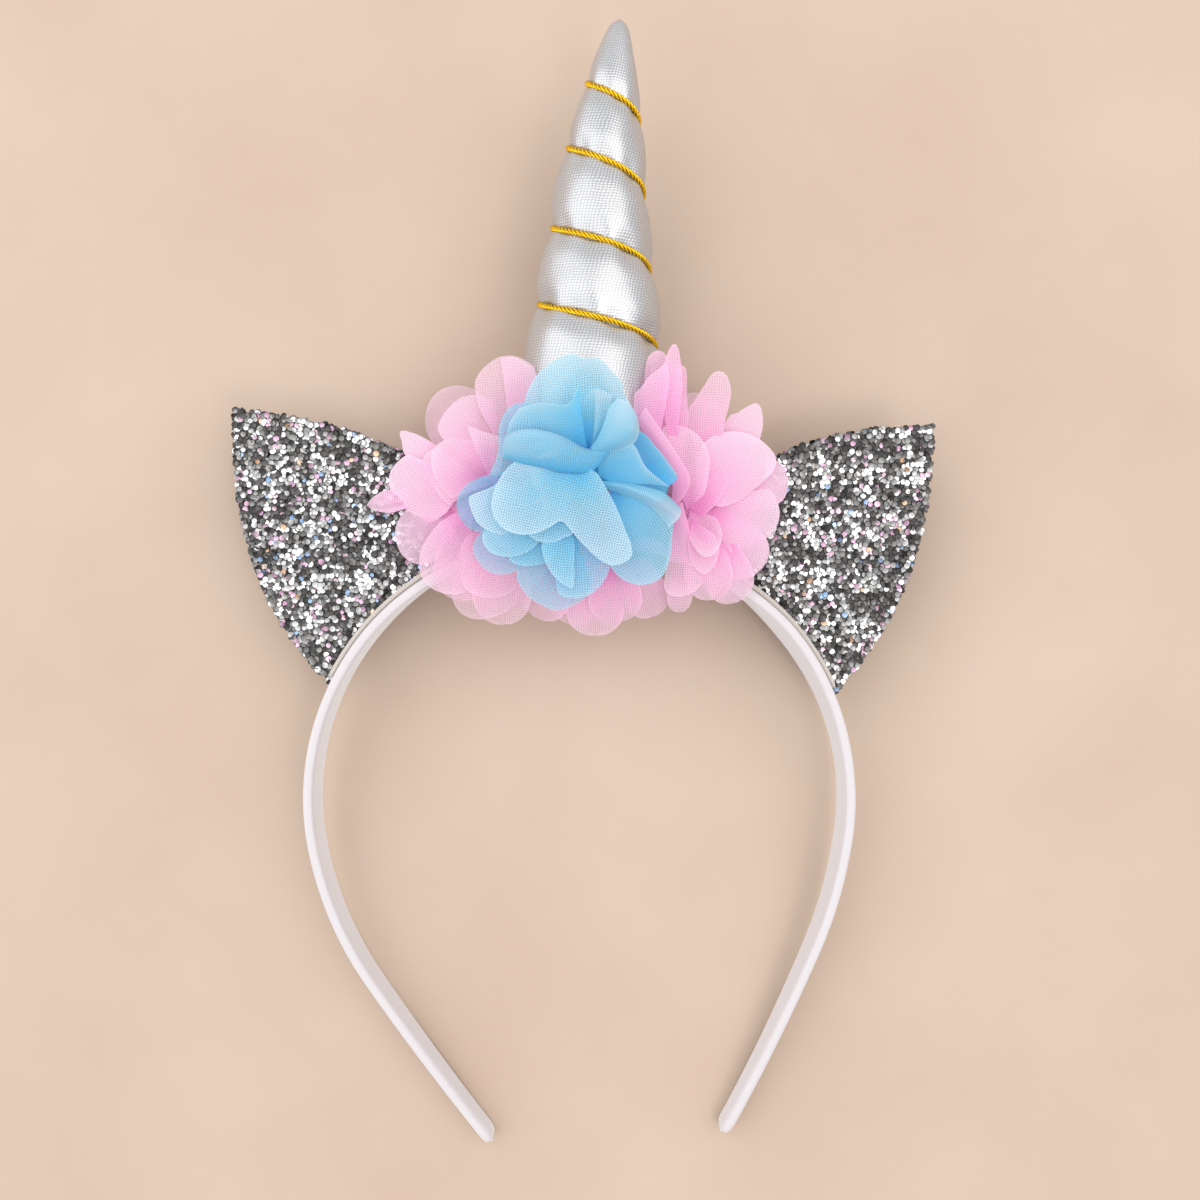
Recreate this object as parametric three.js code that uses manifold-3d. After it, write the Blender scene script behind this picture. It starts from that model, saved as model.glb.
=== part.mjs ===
// A child's unicorn headband lying on its side: satin band, stuffed horn with a wound cord, two ears
// and four gathered flowers. Millimetres, +Z up from the surface that it lies on.
// Everything is drawn in the headband's own plane: origin at the centre of the crown arc, +X to the
// right ear, +Y to the horn's tip, z = 0 at the band's lower edge. The whole then leans on its leg tips.
import * as THREE from 'three';
import * as BufferGeometryUtils from 'three/addons/utils/BufferGeometryUtils.js';
import Module from 'manifold-3d';

const wasm = await Module();
wasm.setup();

const clearance = 0.3;
const restTilt = THREE.MathUtils.degToRad(4.67);
const restSink = 0.8;

const band = { thickness: 2.4, crownWidth: 11, tipWidth: 6.5, edgeRound: 0.7, taperLength: 120, step: 7 };
const crownRadius = 61.7;
// Each leg is three tangent arcs from the top of the crown: radius in mm, sweep in degrees.
const leftLeg = [
  { radius: crownRadius, sweep: 98.8 },
  { radius: 84.5, sweep: 24.1 },
  { radius: 700, sweep: 3.95 },
];
const rightLeg = [
  { radius: crownRadius, sweep: 96.4 },
  { radius: 108.5, sweep: 15.2 },
  { radius: 500, sweep: 5.68 },
];
const leftTipY = -82;
// Where the inner face leans towards the upper side, by the angle from the top of the crown.
const bandLean = [
  { angle: -130, lean: 0 },
  { angle: -50, lean: 3 },
  { angle: -28, lean: 0 },
  { angle: 28, lean: 0 },
  { angle: 50, lean: 10 },
  { angle: 85, lean: 3 },
  { angle: 130, lean: 0 },
];

const hornSides = 24;
const hornRows = 42;
const pinchShare = 0.115;
const pinchHalfWidth = 0.2;
// The bent axis, by the share of the horn's length from base to tip.
const hornAxis = [
  { at: 0, x: 1.6, y: 63.4, z: 5.5 },
  { at: 0.465, x: 4.0, y: 115, z: 5.6 },
  { at: 0.717, x: 5.6, y: 143, z: 5.5 },
  { at: 1, x: 9.3, y: 174, z: 5.0 },
];
// Radius of the stuffed cone over its bulges, by the same share.
const hornRadius = [
  { at: 0, radius: 15 },
  { at: 0.035, radius: 17.2 },
  { at: 0.11, radius: 18.2 },
  { at: 0.25, radius: 17 },
  { at: 0.4, radius: 14.9 },
  { at: 0.55, radius: 12.3 },
  { at: 0.7, radius: 10 },
  { at: 0.8, radius: 8.1 },
  { at: 0.88, radius: 6.2 },
  { at: 0.94, radius: 4.3 },
  { at: 0.985, radius: 2 },
  { at: 1, radius: 0 },
];
// Where each turn of the cord crosses the left side, by the share of the horn's length.
const cordTurns = [
  { turn: -1, at: 0.99 },
  { turn: 0, at: 0.871 },
  { turn: 1, at: 0.746 },
  { turn: 2, at: 0.594 },
  { turn: 3, at: 0.444 },
  { turn: 4, at: 0.293 },
  { turn: 5, at: 0.14 },
  { turn: 6, at: -0.01 },
];
const cord = { diameter: 1.1, firstTurn: -0.35, lastTurn: 3.62, seat: 0.5, stepsPerTurn: 16, sides: 8 };

const ear = { thickness: 2, footThickness: 1, footHeight: 8, footEnd: 1.5 };
const earShapes = [
  {
    name: 'ear_left', lowAngle: -63.5, highAngle: -25,
    tip: { x: -77, y: 89.7 }, outer: { x: -79.4, y: 51 }, inner: { x: -26, y: 85 },
  },
  {
    name: 'ear_right', lowAngle: 66, highAngle: 24,
    tip: { x: 79, y: 86.1 }, outer: { x: 80.2, y: 50 }, inner: { x: 36, y: 86 },
  },
];

const petal = { thickness: 1, rootRadius: 2, rowsAlong: 4, rowsAcross: 3, widestAt: 0.62, rootShare: 0.42 };
// Petals of each flower: azimuth in degrees from +X, horizontal reach from the flower's axis, full width,
// height where it leaves the hub, height of its tip, rise of its arch and lift of its two edges.
const flowers = [
  {
    name: 'flower_blue', colour: 0x86c9ec,
    hub: { x: 1.7, y: 75.3, low: 24.1, high: 30, radius: 5 },
    petals: [
      { azimuth: 98, reach: 24.5, width: 17, root: 26, tip: 27, arch: 3, lift: 0 },
      { azimuth: 76, reach: 22.5, width: 14, root: 27, tip: 27.5, arch: 3, lift: 0 },
      { azimuth: 94, reach: 16.5, width: 6, root: 28, tip: 34.5, arch: 2, lift: 1 },
      { azimuth: 48, reach: 14.5, width: 11, root: 28, tip: 34, arch: 4, lift: -1 },
      { azimuth: 125, reach: 16.5, width: 12, root: 28, tip: 33, arch: 2, lift: 1 },
      { azimuth: 168, reach: 17.2, width: 9, root: 29, tip: 33, arch: 5, lift: -2 },
      { azimuth: 153, reach: 20.5, width: 15, root: 26, tip: 28, arch: 3, lift: 0 },
      { azimuth: 208, reach: 21.5, width: 19, root: 28, tip: 30, arch: 4, lift: 0 },
      { azimuth: 242, reach: 14.5, width: 14, root: 28, tip: 31, arch: 3, lift: 0 },
      { azimuth: 291, reach: 21, width: 13, root: 28, tip: 31, arch: 4, lift: 0 },
      { azimuth: 355, reach: 18.8, width: 9, root: 28, tip: 30, arch: 4, lift: 2 },
      { azimuth: 337, reach: 21, width: 9, root: 28, tip: 30, arch: 3, lift: 1 },
      { azimuth: 300, reach: 26, width: 16, root: 27, tip: 27.5, arch: 3, lift: 0 },
      { azimuth: 321, reach: 22.5, width: 15, root: 27, tip: 27.5, arch: 3, lift: 0 },
      { azimuth: 268, reach: 26.5, width: 18, root: 26, tip: 26, arch: 3, lift: 0 },
      { azimuth: 256, reach: 30.5, width: 17, root: 25.5, tip: 23, arch: 3, lift: 0 },
      { azimuth: 225, reach: 31, width: 19, root: 25.5, tip: 23.5, arch: 3, lift: 0 },
      { azimuth: 202, reach: 28.5, width: 15, root: 25.5, tip: 23.5, arch: 3, lift: 0 },
    ],
  },
  {
    name: 'flower_pink_left', colour: 0xf2b8de,
    hub: { angle: -19, low: 1, high: 14, radius: 3.5 },
    petals: [
      { azimuth: 82, reach: 38.5, width: 14, root: 12, tip: 16, arch: 4, lift: 0 },
      { azimuth: 104, reach: 33.5, width: 16, root: 9, tip: -13, arch: 5, lift: 0 },
      { azimuth: 96, reach: 29.5, width: 16, root: 12, tip: 14.5, arch: 4, lift: 0 },
      { azimuth: 128, reach: 27.5, width: 11, root: 11, tip: 11, arch: 3, lift: 0 },
      { azimuth: 114, reach: 21, width: 16, root: 13, tip: 16, arch: 4, lift: 1 },
      { azimuth: 149, reach: 22.5, width: 16, root: 11.2, tip: 12.5, arch: 3, lift: 0 },
      { azimuth: 164, reach: 26.5, width: 7, root: 10, tip: 10.2, arch: 2, lift: 0 },
      { azimuth: 187, reach: 18.5, width: 15, root: 11.5, tip: 11.5, arch: 2, lift: 0 },
      { azimuth: 229, reach: 17, width: 16, root: 12.5, tip: 14.5, arch: 3, lift: 0 },
      { azimuth: 271, reach: 19.5, width: 18, root: 13, tip: 13.5, arch: 3, lift: 0 },
      { azimuth: 303, reach: 17, width: 12, root: 13, tip: 15, arch: 3, lift: 0 },
    ],
  },
  {
    name: 'flower_pink_right', colour: 0xf2b8de,
    hub: { angle: 20, low: 1, high: 14, radius: 3.5 },
    petals: [
      { azimuth: 94, reach: 41, width: 9, root: 13, tip: 19.5, arch: 5, lift: 1 },
      { azimuth: 101, reach: 38.5, width: 9, root: 14, tip: 20, arch: 5, lift: 1 },
      { azimuth: 108, reach: 31, width: 8, root: 15, tip: 22.5, arch: 3, lift: 0 },
      { azimuth: 77, reach: 32.5, width: 10, root: 9, tip: -13, arch: 5, lift: 0 },
      { azimuth: 78, reach: 36, width: 10, root: 12, tip: 14, arch: 3, lift: 0 },
      { azimuth: 60, reach: 32.5, width: 11, root: 11, tip: 11, arch: 3, lift: 0 },
      { azimuth: 43, reach: 26, width: 18, root: 12.5, tip: 14.5, arch: 3, lift: 0 },
      { azimuth: 85, reach: 23, width: 13, root: 14, tip: 18.5, arch: 3, lift: 0 },
      { azimuth: 26, reach: 26, width: 11, root: 11, tip: 11, arch: 2, lift: 0 },
      { azimuth: 11, reach: 21.5, width: 15, root: 12.5, tip: 13.5, arch: 3, lift: 0 },
      { azimuth: -23, reach: 18, width: 13, root: 12, tip: 12.5, arch: 2, lift: 0 },
      { azimuth: -50, reach: 18.5, width: 13, root: 12.5, tip: 13, arch: 2, lift: 0 },
      { azimuth: -84, reach: 15, width: 14, root: 13, tip: 15, arch: 3, lift: 0 },
      { azimuth: -57, reach: 10, width: 10, root: 14, tip: 18, arch: 2, lift: 1 },
    ],
  },
  {
    name: 'flower_pink_middle', colour: 0xe7a6d2,
    hub: { x: 3, y: 57.5, low: 11.35, high: 15.5, radius: 4.5 },
    petals: [
      { azimuth: 235, reach: 18, width: 15, root: 13, tip: 8, arch: 2, lift: 0 },
      { azimuth: 268, reach: 18, width: 16, root: 13, tip: 7.5, arch: 2, lift: 0 },
      { azimuth: 293, reach: 18, width: 15, root: 13, tip: 8, arch: 3, lift: 0 },
      { azimuth: -47, reach: 20, width: 14, root: 13, tip: 7.5, arch: 2, lift: 0 },
    ],
  },
];

// Shared helpers for tables, closed meshes and joins.
const radians = THREE.MathUtils.degToRad;

// A smooth curve through a table's rows. An eased one is level at each row, so it never overshoots.
function tableCurve(rows, key, value, eased = false) {
  const points = rows.map((row) => new THREE.Vector2(row[key], row[value]));
  return (at) => {
    const last = points.length - 2;
    const below = points.findIndex((point, i) => i > last - 1 || at <= points[i + 1].x);
    const start = points[below];
    const end = points[below + 1];
    const before = points[Math.max(below - 1, 0)];
    const after = points[Math.min(below + 2, points.length - 1)];
    const span = end.x - start.x;
    const share = THREE.MathUtils.clamp((at - start.x) / span, 0, 1);
    const slopeIn = eased ? 0 : ((end.y - before.y) / (end.x - before.x)) * span;
    const slopeOut = eased ? 0 : ((after.y - start.y) / (after.x - start.x)) * span;
    const square = share * share;
    const cube = square * share;
    return (
      (2 * cube - 3 * square + 1) * start.y +
      (cube - 2 * square + share) * slopeIn +
      (3 * square - 2 * cube) * end.y +
      (cube - square) * slopeOut
    );
  };
}

function closedGeometry(points, triangles) {
  const geometry = new THREE.BufferGeometry();
  const positions = points.flatMap((point) => point.toArray());
  geometry.setAttribute('position', new THREE.Float32BufferAttribute(positions, 3));
  geometry.setIndex(triangles.flat());
  return geometry;
}

// A closed skin over rings of points, with a fan over each end.
function skinOverRings(rings, startCap, endCap) {
  const sides = rings[0].length;
  const points = rings.flat();
  const triangles = [];
  for (let ring = 0; ring < rings.length - 1; ring += 1) {
    for (let side = 0; side < sides; side += 1) {
      const next = (side + 1) % sides;
      const low = ring * sides;
      const high = low + sides;
      triangles.push([low + side, low + next, high + next]);
      triangles.push([low + side, high + next, high + side]);
    }
  }
  const startIndex = points.push(startCap) - 1;
  const endIndex = points.push(endCap) - 1;
  const lastRing = (rings.length - 1) * sides;
  for (let side = 0; side < sides; side += 1) {
    const next = (side + 1) % sides;
    triangles.push([startIndex, next, side]);
    triangles.push([endIndex, lastRing + side, lastRing + next]);
  }
  return closedGeometry(points, triangles);
}

function toSolid(geometry) {
  const bare = geometry.clone();
  bare.deleteAttribute('normal');
  bare.deleteAttribute('uv');
  const merged = BufferGeometryUtils.mergeVertices(bare, 1e-4);
  return new wasm.Manifold(
    new wasm.Mesh({
      numProp: 3,
      vertProperties: new Float32Array(merged.attributes.position.array),
      triVerts: new Uint32Array(merged.index.array),
    }),
  );
}

function toGeometry(solid) {
  const mesh = solid.getMesh();
  const geometry = new THREE.BufferGeometry();
  geometry.setAttribute('position', new THREE.Float32BufferAttribute(mesh.vertProperties, 3));
  geometry.setIndex(Array.from(mesh.triVerts));
  return geometry;
}

function joined(geometries) {
  return toGeometry(geometries.map(toSolid).reduce((whole, piece) => whole.add(piece)));
}

// The surface that the object lies on, seen from the headband's tilted plane.
function restHeight(y) {
  return -(y - leftTipY) * Math.tan(restTilt) + restSink / Math.cos(restTilt);
}

function flattenAtRest(geometry) {
  const position = geometry.attributes.position;
  for (let i = 0; i < position.count; i += 1) {
    position.setZ(i, Math.max(position.getZ(i), restHeight(position.getY(i))));
  }
  return geometry;
}

// Satin band: a rounded strip carried along the arcs of both legs.
function legStations(arcs, side) {
  const stations = [];
  let x = 0;
  let y = crownRadius;
  let turned = 0;
  for (const { radius, sweep } of arcs) {
    const steps = Math.ceil((radius * radians(sweep)) / band.step);
    for (let i = 1; i <= steps; i += 1) {
      const angle = turned + (radians(sweep) * i) / steps;
      stations.push({
        x: side * (x + radius * (Math.sin(angle) - Math.sin(turned))),
        y: y + radius * (Math.cos(angle) - Math.cos(turned)),
        angle: side * angle,
      });
    }
    const end = stations[stations.length - 1];
    x = side * end.x;
    y = end.y;
    turned += radians(sweep);
  }
  return stations;
}

const leanAt = tableCurve(bandLean, 'angle', 'lean', true);

function makeHeadband() {
  const crown = { x: 0, y: crownRadius, angle: 0 };
  const stations = [...legStations(leftLeg, -1).reverse(), crown, ...legStations(rightLeg, 1)];
  const half = band.thickness / 2;
  const round = band.edgeRound;
  const rings = stations.map(({ x, y, angle }) => {
    const rise = THREE.MathUtils.clamp((y - leftTipY) / band.taperLength, 0, 1);
    const width = THREE.MathUtils.lerp(band.tipWidth, band.crownWidth, rise);
    const lean = Math.tan(radians(leanAt(THREE.MathUtils.radToDeg(angle))));
    const corners = [
      [half, round], [half, width - round], [half - round, width], [round - half, width],
      [-half, width - round], [-half, round], [round - half, 0], [half - round, 0],
    ];
    return corners.map(([out, z]) => {
      const shifted = out + lean * (z - width / 2);
      return new THREE.Vector3(x + shifted * Math.sin(angle), y + shifted * Math.cos(angle), z);
    });
  });
  const middle = (ring) => ring.reduce((sum, p) => sum.add(p), new THREE.Vector3()).divideScalar(ring.length);
  return flattenAtRest(skinOverRings(rings, middle(rings[0]), middle(rings[rings.length - 1])));
}

// Stuffed horn: rings along a bent axis, drawn in where the cord winds round it.
const [axisX, axisY, axisZ] = ['x', 'y', 'z'].map((value) => tableCurve(hornAxis, 'at', value));
const axisPoint = (at) => new THREE.Vector3(axisX(at), axisY(at), axisZ(at));
const radiusAt = tableCurve(hornRadius, 'at', 'radius');
const shareAtTurn = tableCurve(cordTurns, 'turn', 'at');
const turnAtShare = tableCurve([...cordTurns].reverse(), 'at', 'turn');

// A point round the axis: a quarter turn is the upper side, and turns start on the left.
function aroundAxis(at, turn, radius) {
  const centre = axisPoint(at);
  const along = axisPoint(at + 0.01).sub(axisPoint(at - 0.01)).normalize();
  const right = new THREE.Vector3(along.y, -along.x, 0).normalize();
  const up = new THREE.Vector3().crossVectors(right, along);
  const angle = turn * 2 * Math.PI;
  return centre
    .addScaledVector(right, -radius * Math.cos(angle))
    .addScaledVector(up, radius * Math.sin(angle));
}

// The groove fades out where the cord ends.
function pinchedRadius(at, turn) {
  const nearest = turnAtShare(at) - turn;
  const offset = Math.abs(nearest - Math.round(nearest)) / pinchHalfWidth;
  const wound = THREE.MathUtils.clamp((cord.lastTurn + 0.4 - turn - Math.round(nearest)) / 0.4, 0, 1);
  return radiusAt(at) * (1 - pinchShare * wound * Math.exp(-offset * offset));
}

function makeHorn() {
  const rings = [];
  for (let row = 0; row < hornRows; row += 1) {
    const at = 1 - (1 - row / hornRows) ** 1.05;
    const ring = [];
    for (let side = 0; side < hornSides; side += 1) {
      const turn = side / hornSides;
      ring.push(aroundAxis(at, turn, pinchedRadius(at, turn)));
    }
    rings.push(ring);
  }
  return flattenAtRest(skinOverRings(rings, axisPoint(0), axisPoint(1)));
}

class CordPath extends THREE.Curve {
  getPoint(share, target = new THREE.Vector3()) {
    const turn = THREE.MathUtils.lerp(cord.firstTurn, cord.lastTurn, share);
    const at = shareAtTurn(turn);
    const groove = radiusAt(at) * (1 - pinchShare);
    return target.copy(aroundAxis(at, turn, groove + cord.seat + cord.diameter / 2));
  }
}

function makeCord() {
  const section = new THREE.Shape();
  for (let side = 0; side < cord.sides; side += 1) {
    const angle = (side / cord.sides) * 2 * Math.PI;
    const x = (cord.diameter / 2) * Math.cos(angle);
    const y = (cord.diameter / 2) * Math.sin(angle);
    if (side === 0) section.moveTo(x, y);
    else section.lineTo(x, y);
  }
  const steps = Math.round((cord.lastTurn - cord.firstTurn) * cord.stepsPerTurn);
  return new THREE.ExtrudeGeometry(section, { extrudePath: new CordPath(), steps, bevelEnabled: false });
}

// Ears: a leaf-shaped plate that stands on the band's outer face, and the foot that is glued there.
const footRadius = crownRadius + band.thickness / 2 + clearance;

function bandPoint(degrees, radius) {
  return new THREE.Vector2(radius * Math.sin(radians(degrees)), radius * Math.cos(radians(degrees)));
}

function extrudedUp(shape, low, high) {
  const settings = { depth: high - low, bevelEnabled: false, curveSegments: 12 };
  const geometry = new THREE.ExtrudeGeometry(shape, settings);
  return geometry.translate(0, 0, low);
}

function makeEar({ lowAngle, highAngle, tip, outer, inner }) {
  const reach = footRadius + ear.footThickness / 2;
  const low = bandPoint(lowAngle, reach);
  const high = bandPoint(highAngle, reach);
  const toArc = (degrees) => Math.PI / 2 - radians(degrees);
  const clockwise = lowAngle < highAngle;
  const leaf = new THREE.Shape();
  leaf.moveTo(low.x, low.y);
  leaf.absarc(0, 0, reach, toArc(lowAngle), toArc(highAngle), clockwise);
  leaf.quadraticCurveTo(inner.x, inner.y, tip.x, tip.y);
  leaf.quadraticCurveTo(outer.x, outer.y, low.x, low.y);
  const toEnd = clockwise ? ear.footEnd : -ear.footEnd;
  const footStart = toArc(lowAngle + toEnd);
  const footStop = toArc(highAngle - toEnd);
  const foot = new THREE.Shape();
  foot.absarc(0, 0, footRadius, footStart, footStop, clockwise);
  foot.absarc(0, 0, footRadius + ear.footThickness, footStop, footStart, !clockwise);
  foot.closePath();
  const middle = band.crownWidth / 2;
  const whole = joined([
    extrudedUp(leaf, middle - ear.thickness / 2, middle + ear.thickness / 2),
    extrudedUp(foot, middle - ear.footHeight / 2, middle + ear.footHeight / 2),
  ]);
  return leanWithBand(whole);
}

function leanWithBand(geometry) {
  const position = geometry.attributes.position;
  for (let i = 0; i < position.count; i += 1) {
    const angle = Math.atan2(position.getX(i), position.getY(i));
    const lean = Math.tan(radians(leanAt(THREE.MathUtils.radToDeg(angle))));
    const shift = lean * (position.getZ(i) - band.crownWidth / 2);
    position.setX(i, position.getX(i) + shift * Math.sin(angle));
    position.setY(i, position.getY(i) + shift * Math.cos(angle));
  }
  return geometry;
}

// Flowers: arched petals, narrow where they are gathered and round at the end, fused to a low hub.
function petalOutline(along) {
  if (along < petal.widestAt) {
    return THREE.MathUtils.lerp(petal.rootShare, 1, Math.sin((along / petal.widestAt) * (Math.PI / 2)));
  }
  const beyond = (along - petal.widestAt) / (1.04 - petal.widestAt);
  return Math.sqrt(1 - beyond * beyond);
}

function makePetal({ azimuth, reach, width, root, tip, arch, lift }, hub) {
  const outward = new THREE.Vector3(Math.cos(radians(azimuth)), Math.sin(radians(azimuth)), 0);
  const sideways = new THREE.Vector3(-outward.y, outward.x, 0);
  const half = petal.thickness / 2;
  const columns = petal.rowsAcross + 1;
  const rows = petal.rowsAlong + 1;
  const point = (row, column, offset) => {
    const along = row / petal.rowsAlong;
    const across = (2 * column) / petal.rowsAcross - 1;
    const distance = THREE.MathUtils.lerp(petal.rootRadius, reach, along);
    const bow = 4 * along * (1 - along) * arch;
    const edge = lift * across * across * along;
    const height = THREE.MathUtils.lerp(root, tip, along ** 1.3) + bow + edge + offset;
    return new THREE.Vector3(hub.x, hub.y, height)
      .addScaledVector(outward, distance)
      .addScaledVector(sideways, (across * width * petalOutline(along)) / 2);
  };
  const points = [];
  for (const offset of [half, -half]) {
    for (let row = 0; row < rows; row += 1) {
      for (let column = 0; column < columns; column += 1) points.push(point(row, column, offset));
    }
  }
  const under = rows * columns;
  const triangles = [];
  for (let row = 0; row < rows - 1; row += 1) {
    for (let column = 0; column < columns - 1; column += 1) {
      const near = row * columns + column;
      const far = near + columns;
      triangles.push([near, far, far + 1]);
      triangles.push([near, far + 1, near + 1]);
      triangles.push([under + near, under + far + 1, under + far]);
      triangles.push([under + near, under + near + 1, under + far + 1]);
    }
  }
  const rim = [];
  for (let column = 0; column < columns; column += 1) rim.push(column);
  for (let row = 1; row < rows; row += 1) rim.push(row * columns + columns - 1);
  for (let column = columns - 2; column >= 0; column -= 1) rim.push((rows - 1) * columns + column);
  for (let row = rows - 2; row > 0; row -= 1) rim.push(row * columns);
  rim.forEach((here, i) => {
    const next = rim[(i + 1) % rim.length];
    triangles.push([here, next, under + next], [here, under + next, under + here]);
  });
  return closedGeometry(points, triangles);
}

function makeFlower({ hub, petals }) {
  const onBand = hub.angle === undefined ? hub : bandPoint(hub.angle, footRadius + hub.radius);
  const core = new THREE.CylinderGeometry(hub.radius, hub.radius, hub.high - hub.low, 12);
  core.rotateX(Math.PI / 2);
  core.translate(onBand.x, onBand.y, (hub.low + hub.high) / 2);
  return joined([core, ...petals.map((row) => makePetal(row, onBand))]);
}

// The assembly, leaned on its leg tips and centred over the surface.
function named(name, geometry, look) {
  const mesh = new THREE.Mesh(geometry, new THREE.MeshStandardMaterial(look));
  mesh.name = name;
  return mesh;
}

const headpiece = new THREE.Group();
headpiece.add(
  named('headband', makeHeadband(), { color: 0xe8e3e8, roughness: 0.4, metalness: 0 }),
  named('horn', makeHorn(), { color: 0xd4d6d8, roughness: 0.35, metalness: 0.8 }),
  named('horn_cord', makeCord(), { color: 0xe0a412, roughness: 0.35, metalness: 0.9 }),
);
for (const shape of earShapes) {
  headpiece.add(named(shape.name, makeEar(shape), { color: 0xa8a9ad, roughness: 0.3, metalness: 0.9 }));
}
for (const flower of flowers) {
  const look = { color: flower.colour, roughness: 0.8, metalness: 0 };
  headpiece.add(named(flower.name, makeFlower(flower), look));
}
headpiece.rotation.x = restTilt;

const tiara = new THREE.Group();
tiara.add(headpiece);
tiara.updateMatrixWorld(true);
const box = new THREE.Box3().setFromObject(tiara, true);
const middle = box.getCenter(new THREE.Vector3());
headpiece.position.set(-middle.x, -middle.y, -box.min.z);

export default tiara;
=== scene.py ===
import bpy
import bmesh
import numpy as np
from math import cos, pi, radians, sin, tan
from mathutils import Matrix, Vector


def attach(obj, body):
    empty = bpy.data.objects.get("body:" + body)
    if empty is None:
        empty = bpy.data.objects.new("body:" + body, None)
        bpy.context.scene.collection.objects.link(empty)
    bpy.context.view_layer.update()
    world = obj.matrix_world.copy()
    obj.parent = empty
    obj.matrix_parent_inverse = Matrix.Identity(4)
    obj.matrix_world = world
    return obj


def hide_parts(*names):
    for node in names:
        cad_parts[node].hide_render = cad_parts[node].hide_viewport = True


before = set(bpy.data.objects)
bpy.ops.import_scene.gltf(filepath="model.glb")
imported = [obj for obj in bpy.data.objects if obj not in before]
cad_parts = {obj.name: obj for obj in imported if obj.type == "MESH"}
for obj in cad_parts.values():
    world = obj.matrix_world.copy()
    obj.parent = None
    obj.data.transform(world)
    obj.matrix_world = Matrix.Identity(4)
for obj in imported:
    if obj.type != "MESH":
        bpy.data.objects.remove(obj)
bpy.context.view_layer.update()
mm = 0.001
stack = np.column_stack

# The headband's own plane: origin at the centre of the crown arc, z = 0 at the band's lower edge, in mm.
# It leans on its leg tips, so every shape below is drawn in that plane and then laid down.
lying = {"tilt": radians(4.67), "shift": (-0.94, -45.05, 5.88), "tipY": -82, "sink": 0.8}


def laidDown(points):
    x, y, z = np.asarray(points, float).T
    c, s = cos(lying["tilt"]), sin(lying["tilt"])
    moved = stack([x, y * c - z * s, y * s + z * c])
    return (moved + lying["shift"]) * mm


def liftToRest(points, gap=0):
    rest = -(points[:, 1] - lying["tipY"]) * tan(lying["tilt"]) + lying["sink"] / cos(lying["tilt"])
    points[:, 2] = np.maximum(points[:, 2], rest + gap)
    return points


def unit(vectors):
    return vectors / np.linalg.norm(vectors, axis=-1, keepdims=True)


def runAlong(points):
    steps = np.linalg.norm(np.diff(points, axis=0), axis=1)
    return np.concatenate([[0], np.cumsum(steps)])


def smoothTable(keys, values, eased=False):
    keys, values = np.array(keys, float), np.array(values, float)
    slopes = np.zeros(len(keys))
    if not eased:
        slopes[1:-1] = (values[2:] - values[:-2]) / (keys[2:] - keys[:-2])
        slopes[0] = (values[1] - values[0]) / (keys[1] - keys[0])
        slopes[-1] = (values[-1] - values[-2]) / (keys[-1] - keys[-2])

    def read(at):
        at = np.asarray(at, float)
        i = np.clip(np.searchsorted(keys, at) - 1, 0, len(keys) - 2)
        span = keys[i + 1] - keys[i]
        t = np.clip((at - keys[i]) / span, 0, 1)
        return (
            (2 * t**3 - 3 * t**2 + 1) * values[i]
            + (t**3 - 2 * t**2 + t) * slopes[i] * span
            + (3 * t**2 - 2 * t**3) * values[i + 1]
            + (t**3 - t**2) * slopes[i + 1] * span
        )

    return read


# Mesh helpers: a grid is moved onto a surface, with its cloth size in mm as UVs. A petal also has marks: the
# first runs from its foot to its tip, from deeper dye with painted shade at the gathered foot to paler dye at
# the tip; rim is 1 along its cut edge and thin is 1 where it is a single open layer.
petalMarks = ("pale", "rim", "thin")


def addSurface(bm, look, surface, marks=()):
    weave = bm.loops.layers.uv.get("cloth") or bm.loops.layers.uv.new("cloth")
    layers = [bm.verts.layers.float.get(name) or bm.verts.layers.float.new(name) for name in marks]
    columns, rows = look["columns"], look["rows"]
    grid = bmesh.ops.create_grid(bm, x_segments=columns, y_segments=rows, size=0.5)["verts"]
    share = np.array([v.co[:2] for v in grid]) + 0.5
    points, cloth, *values = surface(share[:, 0], share[:, 1])
    values = [np.broadcast_to(value, len(grid)) for value in values]
    for i, (vert, place) in enumerate(zip(grid, laidDown(points))):
        vert.co = place
        for layer, value in zip(layers, values):
            vert[layer] = value[i]
        for loop in vert.link_loops:
            loop[weave].uv = cloth[i]


def turnOutwards(bm):
    bmesh.ops.recalc_face_normals(bm, faces=bm.faces)


def weld(bm, distance=0.00002):
    bmesh.ops.remove_doubles(bm, verts=bm.verts, dist=distance)
    turnOutwards(bm)


def meshFrom(name, bm):
    mesh = bpy.data.meshes.new(name)
    bm.to_mesh(mesh)
    bm.free()
    return mesh


def addObject(name, data):
    made = bpy.data.objects.new(name, data)
    bpy.context.scene.collection.objects.link(made)
    return made


def addPiece(name, mesh, material):
    mesh.materials.append(material)
    piece = addObject(name, mesh)
    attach(piece, "root")
    return piece


def finishPiece(name, bm, material, node=None, smooth=True):
    mesh = meshFrom(name, bm)
    mesh.polygons.foreach_set("use_smooth", [smooth] * len(mesh.polygons))
    piece = addPiece(name, mesh, material)
    if node:
        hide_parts(node)
    return piece


# Shader helpers. Colours are given as a screen shows them, 0 to 255.
def linear(r, g, b):
    shares = [v / 255 for v in (r, g, b)]
    return tuple(v / 12.92 if v <= 0.04045 else ((v + 0.055) / 1.055) ** 2.4 for v in shares) + (1,)


def node(tree, kind, **settings):
    made = tree.nodes.new(kind)
    made.location.x = 200 * len(tree.nodes)
    for key, value in settings.items():
        setattr(made, key, value)
    return made


def join(tree, source, target):
    tree.links.new(source, target)


def setInputs(target, values):
    for key, value in values.items():
        target.inputs[key].default_value = value


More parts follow.
